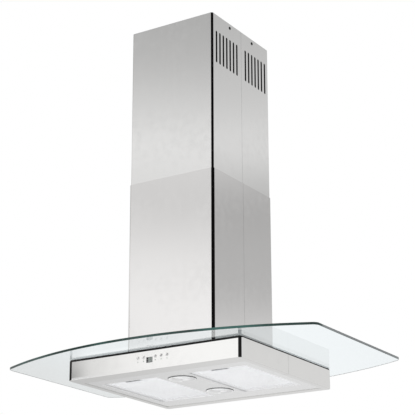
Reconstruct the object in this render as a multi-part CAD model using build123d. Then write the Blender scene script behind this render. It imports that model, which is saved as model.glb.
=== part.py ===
"""Island range hood: a flat glass canopy with bowed edges under a square telescopic chimney.

Millimetres, +Z up.  The origin is the centre of the ceiling face: the hood hangs below it, its
control panel faces -Y, and every level is worked out from the heights below.
"""
import os

from build123d import *

# ---------------------------------------------------------------- heights
HOOD_HEIGHT = 950.0          # ceiling to the underside of the canopy
CANOPY_HEIGHT = 50.0         # steel canopy case
GASKET_THICKNESS = 2.0       # rubber between the case and the glass
GLASS_THICKNESS = 6.0
JOINT_HEIGHT = 517.0         # underside of the canopy to the top edge of the lower chimney
CHIMNEY_OVERLAP = 120.0      # length of the upper chimney hidden inside the lower one
CEILING_GAP = 1.0            # top edge of the upper chimney below the ceiling
HEIGHT_UP = 120.0            # travel of the hood towards the ceiling
HEIGHT_DOWN = 80.0           # travel of the hood away from the ceiling
REST_GAP = 0.2               # between faces of different bodies that rest on each other

# ---------------------------------------------------------------- glass canopy
GLASS_WIDTH = 900.0
GLASS_SIDE = 436.0           # length of each straight side edge
GLASS_DEPTH = 650.0          # across the two bowed edges, at the middle
GLASS_CORNER = 18.0
GLASS_HOLE_GAP = 3.0         # glass to the motor box that passes through it

# ---------------------------------------------------------------- chimney
LOWER_WIDTH = 258.0          # outer chimney section
LOWER_DEPTH = 292.0
CHIMNEY_SHEET = 1.0
LOWER_BEND = 7.5             # outer radius of the lower section's four vertical bends
SECTION_GAP = 1.0            # between the two sliding sections
LAP_REACH = 6.0              # tongue of the lapped seam in the middle of each side
LAP_GAP = 0.05               # play in the lap
SEAM_GAP = 0.5               # visible line of the seam
VENT_LENGTH = 90.0
VENT_WIDTH = 7.5
VENT_PITCH = 17.0
VENT_COUNT = 7               # slots in each of the two groups on a side
VENT_START = 22.0            # first slot to the seam
VENT_TOP = 46.0              # top end of the slots below the chimney's top edge
COVER_SCREW_Y = 57.0         # fixing screws of the upper chimney
COVER_SCREW_DROP = 12.0      # below the chimney's top edge
COVER_SCREW_RADIUS = 2.0
COVER_SCREW_HEAD = 3.2       # radius
COVER_SCREW_HEAD_HEIGHT = 1.6
COVER_SCREW_REACH = 4.0      # shank behind the rim's outer face
COVER_SCREW_PLAY = 0.1

# ---------------------------------------------------------------- ceiling plate
CEILING_PLATE = 3.0
CEILING_RIM = 22.0           # height of the rim that the upper chimney slips over
CEILING_RIM_WALL = 2.0
CEILING_RIM_GAP = 0.3
DUCT_HOLE_RADIUS = 80.0
CEILING_BOLT_X = 190.0       # spacing of the four ceiling bolts
CEILING_BOLT_Y = 140.0
CEILING_BOLT_RADIUS = 4.5
CABLE_HOLE_RADIUS = 8.0      # in the plate, straight above the cable gland
STUD_REACH = 8.0             # studs below the feet of the upper rails
RIM_HOLE_DEPTH = 5.0         # screw holes, from the rim's outer face inwards

# ---------------------------------------------------------------- telescopic frame
RAIL_FLANGE = 20.0
RAIL_SHEET = 2.0
RAIL_PLAY = 0.4              # between the sliding rails
LOWER_RAIL_LENGTH = 378.0
UPPER_RAIL_END = 22.0        # upper rail below the end of its slot
FOOT_SIZE = 28.0             # folded foot of every rail
BOLT_RADIUS = 3.0            # M6 bolts of the frame
BOLT_PLAY = 0.25             # bolt to hole or slot
BOLT_HEAD_RADIUS = 5.5
BOLT_HEAD_HEIGHT = 3.5
BOLT_GRIP_PLAY = 0.1         # under a head, so that the rails can slide
BOLT_TOP_DROP = 18.0         # upper clamp bolt below the top of the lower rail
BOLT_PITCH = 60.0            # between the two clamp bolts of a rail
BOLT_TAIL = 2.0              # end of a clamp bolt beyond its nut
BOLT_FIT = 0.1               # play of a bolt in the piece that it clamps
FOOT_SCREW_REACH = 6.0       # foot screws below the lid
BRACE_RISE = 2.0             # upper band above the ends of its rails
BRACE_HEIGHT = 14.0
BRACE_SHEET = 2.0

# ---------------------------------------------------------------- motor box and outlet
MOTOR_BOX_WIDTH = 216.0
MOTOR_BOX_DEPTH = 250.0
MOTOR_BOX_HEIGHT = 251.0     # above the canopy's top plate
MOTOR_BOX_SHEET = 1.0
MOTOR_BOX_BEND = 2.0
MOTOR_BOX_FLANGE = 10.0
MOTOR_BOX_CORNER = 5.0       # corners of the openings round the box
LID_SHEET = 1.2
COLLAR_RADIUS = 74.5         # outer radius of the duct spigot
COLLAR_WALL = 1.5
COLLAR_LENGTH = 45.0
COLLAR_BOX_WIDTH = 160.0
COLLAR_BOX_DEPTH = 166.0
COLLAR_BOX_Y = 3.0
COLLAR_BOX_HEIGHT = 22.0
COLLAR_BOX_BEND = 6.0
COLLAR_FOOT = 6.0            # flange of the collar's box on the lid
COLLAR_SEAT = 2.5            # ledge that the closed flaps rest on
FLAP_SHEET = 1.2
FLAP_GAP = 0.6               # flap edge to the spigot's wall
FLAP_PIN_RADIUS = 1.5
FLAP_PIN_PLAY = 0.1
FLAP_PIN_INSET = 0.1         # pin ends inside the spigot's outer face
FLAP_PIN_X = 4.0             # each flap's pin beside the middle of the spigot
FLAP_HEIGHT = 12.0           # pins above the spigot's foot

# ---------------------------------------------------------------- blower
IMPELLER_RADIUS = 75.0
IMPELLER_WIDTH = 108.0
IMPELLER_RING = 7.0          # radial size of the end rings
IMPELLER_RING_WIDTH = 3.0
BLADE_COUNT = 30
BLADE_SPAN = 11.5
BLADE_INSET = 1.0            # blades inside the ring's middle circle
BLADE_END = 0.5              # blade ends inside the rings' outer faces
BLADE_SHEET = 1.2
DISC_SHEET = 3.0             # middle disc
BLADE_LEAN = 32.0            # degrees off the radius
HUB_RADIUS = 12.0
HUB_LENGTH = 26.0
HUB_OFFSET = 8.0             # hub's middle to the right of the disc
SHAFT_RADIUS = 4.0
SHAFT_PLAY = 0.05
SCROLL_WALL = 2.0
SCROLL_HALF_WIDTH = 62.0     # from the split to the outside of a side wall
SCROLL_RADII = (88.0, 96.0, 106.0)
SCROLL_START = 84.0          # height of the scroll's nose above the axle
SCROLL_NOSE_Y = 12.0
SCROLL_FLOOR_GAP = 6.0       # scroll above the canopy's top plate
INLET_RADIUS = 58.0
INLET_LIP = 3.0              # inlet's rim outside the side wall
AXLE_Y = -34.0               # impeller axle in front of the chimney's middle
MOTOR_RADIUS = 40.0
MOTOR_LENGTH = 60.0
MOTOR_GAP = 5.0              # motor to the impeller's hub
MOTOR_EDGE = 3.0             # chamfer of its end edges
MOTOR_BEARING = 12.0         # shaft inside the motor
MOTOR_BOSS_RADIUS = 14.0
MOTOR_BOSS_LENGTH = 8.0
BRACKET_SHEET = 2.0
BRACKET_ARM = 14.0
BRACKET_RING = 26.0          # outer radius of its ring
BRACKET_BORE = 14.2
BRACKET_ROOT = 20.0          # where the arms start, inside the ring
BRACKET_REACH = 10.0         # arms beyond the inlet's edge
BRACKET_ARMS = 3

# ---------------------------------------------------------------- terminal box
TERMINAL_WIDTH = 96.0
TERMINAL_DEPTH = 32.0
TERMINAL_HEIGHT = 38.0
TERMINAL_WALL = 2.0
TERMINAL_BEND = 3.0
GLAND_RADIUS = 9.0
GLAND_THREAD = 6.5
GLAND_THREAD_REACH = 6.0     # thread below the terminal box's roof
GLAND_PLAY = 0.1
GLAND_BORE = 4.0
GLAND_HEIGHT = 16.0
GLAND_HEX_HEIGHT = 5.0
GLAND_DOME_STEP = 1.2        # dome nut inside the hexagon's corners
GLAND_DOME_ROUND = 2.5

# ---------------------------------------------------------------- glass clamp and chimney base
CLAMP_SHEET = 2.0
CLAMP_REACH = 16.0           # leg that lies on the glass
CLAMP_UPSTAND = 18.0
BASE_SHEET = 1.5
BASE_UPSTAND = 18.0
BASE_GAP = 4.0               # base angle to the motor box

# ---------------------------------------------------------------- canopy case
CASE_WIDTH = 504.0
CASE_DEPTH = 448.0
CASE_SHEET = 1.2
CASE_BEND = 9.0              # outer radius of the four vertical bends
CASE_EDGE = 1.4              # outer radius of the folds to the lips
CASE_FLANGE = 14.0           # folded lips at the top
LIP_FRONT = 46.0             # folded lips round the underside
LIP_REAR = 26.0
LIP_SIDE = 16.0
PLATE_SHEET = 1.2            # top plate and underside panel
PLATE_GAP = 0.2              # plates to the case walls
GASKET_WIDTH = 14.0
GASKET_INSET = 1.0
INNER_GASKET_WIDTH = 8.0

# ---------------------------------------------------------------- underside
FILTER_WIDTH = 168.0         # opening for each grease filter
FILTER_LENGTH = 270.0
LAMP_STRIP = 88.0            # between the two openings
FILTER_GAP = 0.8             # filter to its opening
FILTER_RECESS = 3.0          # filter faces above the underside panel
OPENING_FLANGE = 5.0         # folded edges of the openings above the panel
FILTER_THICKNESS = 9.0
FILTER_RIM = 10.0
MESH_THICKNESS = 6.0
MESH_RECESS = 1.0
TAB_WIDTH = 20.0
TAB_REACH = 7.0
TAB_SHEET = 1.5
TAB_X = 55.0                 # hook tabs beside the filter's middle
LATCH_WIDTH = 46.0           # finger recess in the filter's front member
LATCH_DEPTH = 18.0
LATCH_WALL = 3.0
LATCH_FLOOR = 1.5
LATCH_BAR_DEPTH = 4.0
LATCH_BAR_HEIGHT = 5.0
LATCH_TONGUE_WIDTH = 12.0
LATCH_TONGUE_HEIGHT = 2.5
LATCH_PLAY = 0.25

# ---------------------------------------------------------------- lamps
LAMP_Y = 88.0                # lamps on the strip, in front of and behind the middle
LAMP_RING_RADIUS = 36.0
LAMP_HOLE_RADIUS = 32.0
LAMP_GLASS_RADIUS = 29.8
LAMP_OPEN_RADIUS = 26.0
LAMP_PLAY = 0.2
LAMP_RING_EDGE = 0.4         # chamfer of the bezel's lower edges
LAMP_WALL = 1.2
LAMP_NECK = 9.0
LAMP_SEAT = 5.0              # lens above the underside panel
LAMP_LENS = 2.5
LAMP_CUP_HEIGHT = 34.0
BULB_RADIUS = 5.0
BULB_LENGTH = 16.0
SOCKET_RADIUS = 9.0
SOCKET_HEIGHT = 9.0

# ---------------------------------------------------------------- controls
CONTROL_PITCH = 17.0         # the keys and the display share one pitch
CONTROL_START = -39.5        # first key, left of the middle
DISPLAY_SLOT = 2             # place of the display in the row
CONTROL_SLOTS = 6
KEY_HEIGHT = 31.5            # key centres above the underside
KEY_RADIUS = 4.0
KEY_PLAY = 0.2
KEY_PROUD = 0.4              # key faces in front of the panel
KEY_TRAVEL = 1.2
KEY_COLLAR = 5.4             # radius of the collar behind the panel
KEY_COLLAR_SHEET = 1.2
KEY_STEM = 2.0
LED_RADIUS = 1.0
LED_DROP = 9.0               # indicator below its key
DISPLAY_WIDTH = 18.0
DISPLAY_HEIGHT = 13.4
DISPLAY_CENTRE = 24.3        # above the underside
DISPLAY_PLAY = 0.2
HOUSING_WIDTH = 124.0
HOUSING_HEIGHT = 38.0
HOUSING_DEPTH = 15.0
HOUSING_WALL = 2.0
BOARD_SHEET = 1.6
BOARD_INSET = 2.0            # board inside the housing's open back
STANDOFF_RADIUS = 2.0
STANDOFF_INSET = 5.0         # standoffs inside the housing's outer edges

# ---------------------------------------------------------------- levels and sizes that follow
BOTTOM_Z = -HOOD_HEIGHT
CASE_TOP_Z = BOTTOM_Z + CANOPY_HEIGHT
GLASS_Z = CASE_TOP_Z + GASKET_THICKNESS
GLASS_TOP_Z = GLASS_Z + GLASS_THICKNESS
TOP_PLATE_Z = CASE_TOP_Z - CASE_SHEET           # upper face of the canopy's top plate
PANEL_Z = BOTTOM_Z + CASE_SHEET                 # lower face of the underside panel
PANEL_TOP_Z = PANEL_Z + PLATE_SHEET
FLANGE_TOP_Z = PANEL_TOP_Z + OPENING_FLANGE     # upper edge of the openings' flanges
JOINT_Z = BOTTOM_Z + JOINT_HEIGHT
UPPER_END_Z = JOINT_Z - CHIMNEY_OVERLAP
UPPER_TOP_Z = -CEILING_GAP
UPPER_WIDTH = LOWER_WIDTH - 2 * (CHIMNEY_SHEET + SECTION_GAP)
UPPER_DEPTH = LOWER_DEPTH - 2 * (CHIMNEY_SHEET + SECTION_GAP)
UPPER_BEND = LOWER_BEND - CHIMNEY_SHEET - SECTION_GAP
RIM_BEND = UPPER_BEND - CHIMNEY_SHEET - CEILING_RIM_GAP
LID_Z = TOP_PLATE_Z + MOTOR_BOX_HEIGHT          # lower face of the motor box lid
LID_TOP_Z = LID_Z + LID_SHEET
RIM_WIDTH = UPPER_WIDTH - 2 * (CHIMNEY_SHEET + CEILING_RIM_GAP)
RIM_DEPTH = UPPER_DEPTH - 2 * (CHIMNEY_SHEET + CEILING_RIM_GAP)
LOWER_RAIL_X = MOTOR_BOX_WIDTH / 2              # outer faces of the lower rails
LOWER_RAIL_Y = MOTOR_BOX_DEPTH / 2
UPPER_RAIL_X = LOWER_RAIL_X + RAIL_PLAY + RAIL_SHEET
UPPER_RAIL_Y = LOWER_RAIL_Y + RAIL_PLAY + RAIL_SHEET
LOWER_RAIL_TOP_Z = LID_TOP_Z + LOWER_RAIL_LENGTH
CLAMP_BOLT_Z = [LOWER_RAIL_TOP_Z - BOLT_TOP_DROP - i * BOLT_PITCH for i in range(2)]
SLOT_TOP_Z = max(CLAMP_BOLT_Z) + HEIGHT_UP
SLOT_END_Z = min(CLAMP_BOLT_Z) - HEIGHT_DOWN
UPPER_RAIL_END_Z = SLOT_END_Z - UPPER_RAIL_END
COLLAR_Z = LID_TOP_Z + COLLAR_BOX_HEIGHT        # foot of the duct spigot
AXLE_Z = TOP_PLATE_Z + SCROLL_FLOOR_GAP + SCROLL_WALL + (
    SCROLL_RADII[1] - (SCROLL_START - SCROLL_RADII[0])
)
FILTER_X = LAMP_STRIP / 2 + FILTER_WIDTH / 2
PANEL_WIDTH = CASE_WIDTH - 2 * (CASE_SHEET + PLATE_GAP)
PANEL_DEPTH = CASE_DEPTH - 2 * (CASE_SHEET + PLATE_GAP)
PANEL_CORNER = CASE_BEND - CASE_SHEET - PLATE_GAP
FRONT_Y = -CASE_DEPTH / 2
KEY_SLOTS = [i for i in range(CONTROL_SLOTS) if i != DISPLAY_SLOT]
KEY_NAMES = ["minus", "plus", "light", "timer", "power"]
HALF = 2000.0                                   # cutting blocks reach past the whole hood
CUT = 1.0                                       # cutters run this far past a face


# ---------------------------------------------------------------- shared shapes
def block(x0, x1, y0, y1, z0, z1):
    """A box between two corners."""
    return Pos((x0 + x1) / 2, (y0 + y1) / 2, (z0 + z1) / 2) * Box(x1 - x0, y1 - y0, z1 - z0)


def slab(width, depth, z0, z1, radius=0.0):
    """An upright prism about the Z axis, with rounded corners where a radius is given."""
    outline = RectangleRounded(width, depth, radius) if radius > 0 else Rectangle(width, depth)
    return Pos(0, 0, z0) * extrude(outline, z1 - z0)


def tube(width, depth, wall, z0, z1, radius):
    """A rectangular tube about the Z axis; its inner corners are square if the wall is thick."""
    core = slab(width - 2 * wall, depth - 2 * wall, z0 - CUT, z1 + CUT, radius - wall)
    return slab(width, depth, z0, z1, radius) - core


def rod(x, y, z0, z1, radius):
    """An upright cylinder."""
    return Pos(x, y, (z0 + z1) / 2) * Cylinder(radius, z1 - z0)


def rod_x(x0, x1, y, z, radius):
    """A cylinder along X."""
    return Pos((x0 + x1) / 2, y, z) * Rot(0, 90, 0) * Cylinder(radius, x1 - x0)


def rod_y(x, y0, y1, z, radius):
    """A cylinder along Y."""
    return Pos(x, (y0 + y1) / 2, z) * Rot(90, 0, 0) * Cylinder(radius, y1 - y0)


def union(shapes):
    """One shape from a list."""
    shapes = list(shapes)
    return shapes[0].fuse(*shapes[1:]).clean() if len(shapes) > 1 else shapes[0]


def group(shapes):
    """Separate solids that share a node."""
    return Compound(children=[s.solid() if not isinstance(s, Solid) else s for s in shapes])


def quarter(shape, sign_x, sign_y):
    """Move a shape made in the +X +Y quarter to another corner."""
    if sign_x < 0:
        shape = shape.mirror(Plane.YZ)
    if sign_y < 0:
        shape = shape.mirror(Plane.XZ)
    return shape


def lapped_halves(shell, core, front_core):
    """Split a sheet shell at Y = 0, with a tongue of the front half behind the rear half.

    core fills everything inside the middle of the sheet; front_core is a little smaller.
    """
    front = shell & block(-HALF, HALF, -HALF, 0, -HALF, HALF)
    tongue = shell & front_core & block(-HALF, HALF, -CUT, LAP_REACH, -HALF, HALF)
    rear = shell & block(-HALF, HALF, SEAM_GAP, HALF, -HALF, HALF)
    pocket = core & block(-HALF, HALF, 0, LAP_REACH + SEAM_GAP, -HALF, HALF)
    return union([front, tongue]), rear - pocket


CORNERS = {
    "front_left": (-1, -1),
    "front_right": (1, -1),
    "rear_left": (-1, 1),
    "rear_right": (1, 1),
}


# ---------------------------------------------------------------- ceiling plate and frame
def ceiling_plate():
    """Pressed tray that is bolted to the ceiling and carries the frame and the upper chimney."""
    tray = slab(RIM_WIDTH, RIM_DEPTH, -CEILING_PLATE, 0, RIM_BEND)
    tray += tube(RIM_WIDTH, RIM_DEPTH, CEILING_RIM_WALL, -CEILING_RIM, -CEILING_PLATE, RIM_BEND)
    tray -= rod(0, 0, -CEILING_PLATE - CUT, CUT, DUCT_HOLE_RADIUS)
    for sx, sy in CORNERS.values():
        x, y = sx * CEILING_BOLT_X / 2, sy * CEILING_BOLT_Y / 2
        tray -= rod(x, y, -CEILING_PLATE - CUT, CUT, CEILING_BOLT_RADIUS)
        x, y = foot_bolt(UPPER_RAIL_X, UPPER_RAIL_Y)
        stud_z = -CEILING_PLATE - RAIL_SHEET - STUD_REACH
        tray += rod(sx * x, sy * y, stud_z, -CEILING_PLATE, BOLT_RADIUS)
    tray -= rod(0, terminal_y(), -CEILING_PLATE - CUT, CUT, CABLE_HOLE_RADIUS)
    for x_sign in (-1, 1):
        for y in (-COVER_SCREW_Y, COVER_SCREW_Y):
            z = UPPER_TOP_Z - COVER_SCREW_DROP
            face = RIM_WIDTH / 2
            x0, x1 = sorted((x_sign * (face - RIM_HOLE_DEPTH), x_sign * (face + CUT)))
            tray -= rod_x(x0, x1, y, z, COVER_SCREW_RADIUS)
    return tray


def foot_bolt(rail_x, rail_y):
    """Place of the bolt in a rail's foot, in the +X +Y quarter."""
    return rail_x - RAIL_SHEET - FOOT_SIZE / 2, rail_y - RAIL_SHEET - FOOT_SIZE / 2


def angle_rail(rail_x, rail_y, z0, z1, foot_z):
    """An upright angle with its corner outwards and a folded foot with a hole."""
    flange_x = block(rail_x - RAIL_SHEET, rail_x, rail_y - RAIL_FLANGE, rail_y, z0, z1)
    flange_y = block(rail_x - RAIL_FLANGE, rail_x, rail_y - RAIL_SHEET, rail_y, z0, z1)
    foot = block(
        rail_x - RAIL_SHEET - FOOT_SIZE, rail_x,
        rail_y - RAIL_SHEET - FOOT_SIZE, rail_y,
        foot_z, foot_z + RAIL_SHEET,
    )
    rail = union([flange_x, flange_y, foot])
    x, y = foot_bolt(rail_x, rail_y)
    return rail - rod(x, y, foot_z - CUT, foot_z + RAIL_SHEET + CUT, BOLT_RADIUS + BOLT_PLAY)


def bolt_flange_y(rail_y):
    """Middle of the flange that the clamp bolts pass through."""
    return rail_y - RAIL_SHEET - (RAIL_FLANGE - RAIL_SHEET) / 2


def upper_rail():
    """Outer rail, with the long slot that the clamp bolts travel in."""
    rail = angle_rail(
        UPPER_RAIL_X, UPPER_RAIL_Y, UPPER_RAIL_END_Z, -CEILING_PLATE, -CEILING_PLATE - RAIL_SHEET
    )
    radius = BOLT_RADIUS + BOLT_PLAY
    y = bolt_flange_y(LOWER_RAIL_Y)
    x0, x1 = UPPER_RAIL_X - RAIL_SHEET - CUT, UPPER_RAIL_X + CUT
    rail -= block(x0, x1, y - radius, y + radius, SLOT_END_Z, SLOT_TOP_Z)
    rail -= rod_x(x0, x1, y, SLOT_END_Z, radius)
    rail -= rod_x(x0, x1, y, SLOT_TOP_Z, radius)
    return rail


def lower_rail():
    """Inner rail, which stands on the motor box lid."""
    rail = angle_rail(LOWER_RAIL_X, LOWER_RAIL_Y, LID_TOP_Z, LOWER_RAIL_TOP_Z, LID_TOP_Z)
    for z in CLAMP_BOLT_Z:
        rail -= rod_x(
            LOWER_RAIL_X - RAIL_SHEET - CUT, LOWER_RAIL_X + CUT,
            bolt_flange_y(LOWER_RAIL_Y), z, BOLT_RADIUS + BOLT_FIT,
        )
    return rail


def clamp_bolt(z):
    """Bolt along X with its head outside the upper rail and a nut inside the lower rail."""
    y = bolt_flange_y(LOWER_RAIL_Y)
    inner = LOWER_RAIL_X - RAIL_SHEET
    outer = UPPER_RAIL_X + BOLT_GRIP_PLAY
    shank = rod_x(inner - BOLT_HEAD_HEIGHT - BOLT_TAIL, outer + CUT, y, z, BOLT_RADIUS)
    head = rod_x(outer, outer + BOLT_HEAD_HEIGHT, y, z, BOLT_HEAD_RADIUS)
    nut = Pos(inner - BOLT_HEAD_HEIGHT, y, z) * Rot(0, 90, 0) * extrude(
        RegularPolygon(BOLT_HEAD_RADIUS, 6), BOLT_HEAD_HEIGHT
    )
    return union([shank, head, nut])


def foot_screw():
    """Screw that holds a lower rail's foot on the lid."""
    x, y = foot_bolt(LOWER_RAIL_X, LOWER_RAIL_Y)
    top = LID_TOP_Z + RAIL_SHEET
    shank = rod(x, y, LID_Z - FOOT_SCREW_REACH, top + CUT, BOLT_RADIUS)
    return union([shank, rod(x, y, top, top + BOLT_HEAD_HEIGHT, BOLT_HEAD_RADIUS)])


def frame_bolts():
    """All bolts of the lower frame: two clamp bolts and one foot screw at each corner."""
    bolts = [clamp_bolt(z) for z in CLAMP_BOLT_Z] + [foot_screw()]
    return group([quarter(bolt, sx, sy) for sx, sy in CORNERS.values() for bolt in bolts])


def ceiling_nuts():
    """Nuts on the ceiling plate's studs, under the feet of the upper rails."""
    x, y = foot_bolt(UPPER_RAIL_X, UPPER_RAIL_Y)
    top = -CEILING_PLATE - RAIL_SHEET
    nut = Pos(x, y, top - BOLT_HEAD_HEIGHT) * extrude(
        RegularPolygon(BOLT_HEAD_RADIUS, 6), BOLT_HEAD_HEIGHT
    )
    nut -= rod(x, y, top - BOLT_HEAD_HEIGHT - CUT, top + CUT, BOLT_RADIUS)
    return group([quarter(nut, sx, sy) for sx, sy in CORNERS.values()])


def upper_brace():
    """Band round the lower ends of the upper rails."""
    z0 = UPPER_RAIL_END_Z + BRACE_RISE
    return tube(
        2 * (UPPER_RAIL_X + BRACE_SHEET), 2 * (UPPER_RAIL_Y + BRACE_SHEET),
        BRACE_SHEET, z0, z0 + BRACE_HEIGHT, BRACE_SHEET,
    )


def lower_brace():
    """Band inside the lower rails, between the clamp bolts."""
    z0 = sum(CLAMP_BOLT_Z) / 2 - BRACE_HEIGHT / 2
    return tube(
        2 * (LOWER_RAIL_X - RAIL_SHEET), 2 * (LOWER_RAIL_Y - RAIL_SHEET),
        BRACE_SHEET, z0, z0 + BRACE_HEIGHT, BRACE_SHEET,
    )


# ---------------------------------------------------------------- chimney sections
def chimney_shell(width, depth, bend, z0, z1):
    """Front and rear halves of a chimney section."""
    shell = tube(width, depth, CHIMNEY_SHEET, z0, z1, bend)
    middle = bend - CHIMNEY_SHEET / 2
    core = slab(width - CHIMNEY_SHEET, depth - CHIMNEY_SHEET, z0 - CUT, z1 + CUT, middle)
    shrink = CHIMNEY_SHEET + 2 * LAP_GAP
    front_core = slab(width - shrink, depth - shrink, z0 - CUT, z1 + CUT, middle - LAP_GAP)
    return lapped_halves(shell, core, front_core)


def vent_slots(sign_y):
    """Cutters for the upright slots of one half, through both sides."""
    slots = []
    top = UPPER_TOP_Z - VENT_TOP
    for i in range(VENT_COUNT):
        y = sign_y * (VENT_START + i * VENT_PITCH)
        middle = block(
            -UPPER_WIDTH, UPPER_WIDTH, y - VENT_WIDTH / 2, y + VENT_WIDTH / 2,
            top - VENT_LENGTH + VENT_WIDTH / 2, top - VENT_WIDTH / 2,
        )
        slots.append(middle)
        for z in (top - VENT_WIDTH / 2, top - VENT_LENGTH + VENT_WIDTH / 2):
            slots.append(rod_x(-UPPER_WIDTH, UPPER_WIDTH, y, z, VENT_WIDTH / 2))
    return slots


def upper_chimney():
    """Upper section: slots near the top of both sides and two screw holes in each."""
    halves = []
    shells = chimney_shell(UPPER_WIDTH, UPPER_DEPTH, UPPER_BEND, UPPER_END_Z, UPPER_TOP_Z)
    for half, sign_y in zip(shells, (-1, 1)):
        cutters = vent_slots(sign_y)
        hole_z = UPPER_TOP_Z - COVER_SCREW_DROP
        hole = COVER_SCREW_RADIUS + COVER_SCREW_PLAY
        cutters.append(rod_x(-UPPER_WIDTH, UPPER_WIDTH, sign_y * COVER_SCREW_Y, hole_z, hole))
        halves.append(half - union(cutters))
    return halves


def cover_screws():
    """Screws that hold the upper chimney to the ceiling plate's rim."""
    screws = []
    z = UPPER_TOP_Z - COVER_SCREW_DROP
    face = UPPER_WIDTH / 2
    for y in (-COVER_SCREW_Y, COVER_SCREW_Y):
        start = RIM_WIDTH / 2 - COVER_SCREW_REACH
        shank = rod_x(start, face + CUT / 2, y, z, COVER_SCREW_RADIUS)
        head = rod_x(face, face + COVER_SCREW_HEAD_HEIGHT, y, z, COVER_SCREW_HEAD)
        screw = union([shank, head])
        screws += [screw, screw.mirror(Plane.YZ)]
    return group(screws)


def lower_chimney():
    """Lower section, which stands on the glass."""
    return chimney_shell(LOWER_WIDTH, LOWER_DEPTH, LOWER_BEND, GLASS_TOP_Z + REST_GAP, JOINT_Z)


def lower_chimney_base():
    """Angle frame inside the foot of the lower chimney, resting on the glass clamp."""
    outer_x, outer_y = LOWER_WIDTH - 2 * CHIMNEY_SHEET, LOWER_DEPTH - 2 * CHIMNEY_SHEET
    radius = LOWER_BEND - CHIMNEY_SHEET
    z0 = GLASS_TOP_Z + CLAMP_SHEET + REST_GAP
    leg = slab(outer_x, outer_y, z0, z0 + BASE_SHEET, radius)
    leg -= slab(
        MOTOR_BOX_WIDTH + 2 * BASE_GAP, MOTOR_BOX_DEPTH + 2 * BASE_GAP,
        z0 - CUT, z0 + BASE_SHEET + CUT, MOTOR_BOX_CORNER,
    )
    upstand = tube(outer_x, outer_y, BASE_SHEET, z0, z0 + BASE_UPSTAND, radius)
    return union([leg, upstand])


# ---------------------------------------------------------------- glass and its fixing
def glass_canopy():
    """Flat pane: straight sides, bowed front and rear edges, and an opening for the motor box."""
    x, y, bow = GLASS_WIDTH / 2, GLASS_SIDE / 2, GLASS_DEPTH / 2
    outline = Curve() + [
        ThreePointArc((-x, -y), (0, -bow), (x, -y)),
        Line((x, -y), (x, y)),
        ThreePointArc((x, y), (0, bow), (-x, y)),
        Line((-x, y), (-x, -y)),
    ]
    face = fillet(make_face(outline).vertices(), GLASS_CORNER)
    pane = Pos(0, 0, GLASS_Z) * extrude(face, GLASS_THICKNESS)
    hole = slab(
        MOTOR_BOX_WIDTH + 2 * GLASS_HOLE_GAP, MOTOR_BOX_DEPTH + 2 * GLASS_HOLE_GAP,
        GLASS_Z - CUT, GLASS_TOP_Z + CUT, MOTOR_BOX_CORNER,
    )
    return pane - hole


def glass_gaskets():
    """Rubber strips under the glass: round the case, and round the motor box."""
    outer = tube(
        CASE_WIDTH - 2 * GASKET_INSET, CASE_DEPTH - 2 * GASKET_INSET,
        GASKET_WIDTH, CASE_TOP_Z, GLASS_Z, CASE_BEND - GASKET_INSET,
    )
    floor = TOP_PLATE_Z + MOTOR_BOX_SHEET
    inner = tube(
        MOTOR_BOX_WIDTH + 2 * (GLASS_HOLE_GAP + INNER_GASKET_WIDTH),
        MOTOR_BOX_DEPTH + 2 * (GLASS_HOLE_GAP + INNER_GASKET_WIDTH),
        INNER_GASKET_WIDTH, floor, GLASS_Z, MOTOR_BOX_CORNER + INNER_GASKET_WIDTH,
    )
    return group([outer, inner])


def glass_clamp_ring():
    """Angle frame round the motor box, which presses the glass down."""
    width, depth = MOTOR_BOX_WIDTH, MOTOR_BOX_DEPTH
    leg = slab(
        width + 2 * CLAMP_REACH, depth + 2 * CLAMP_REACH,
        GLASS_TOP_Z, GLASS_TOP_Z + CLAMP_SHEET, MOTOR_BOX_BEND,
    )
    leg -= slab(width, depth, GLASS_TOP_Z - CUT, GLASS_TOP_Z + CLAMP_SHEET + CUT, MOTOR_BOX_BEND)
    upstand = tube(
        width + 2 * BASE_SHEET, depth + 2 * BASE_SHEET, BASE_SHEET,
        GLASS_TOP_Z, GLASS_TOP_Z + CLAMP_UPSTAND, MOTOR_BOX_BEND + BASE_SHEET,
    )
    return union([leg, upstand])


# ---------------------------------------------------------------- canopy case
def control_cutters():
    """Holes for keys, indicators and the display in the case front."""
    y0, y1 = FRONT_Y - CUT, FRONT_Y + CASE_SHEET + CUT
    cutters = []
    for slot in KEY_SLOTS:
        x = CONTROL_START + slot * CONTROL_PITCH
        z = BOTTOM_Z + KEY_HEIGHT
        cutters.append(rod_y(x, y0, y1, z, KEY_RADIUS + KEY_PLAY))
        cutters.append(rod_y(x, y0, y1, z - LED_DROP, LED_RADIUS + KEY_PLAY))
    x = CONTROL_START + DISPLAY_SLOT * CONTROL_PITCH
    z = BOTTOM_Z + DISPLAY_CENTRE
    cutters.append(block(
        x - DISPLAY_WIDTH / 2, x + DISPLAY_WIDTH / 2, y0, y1,
        z - DISPLAY_HEIGHT / 2, z + DISPLAY_HEIGHT / 2,
    ))
    return cutters


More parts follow.
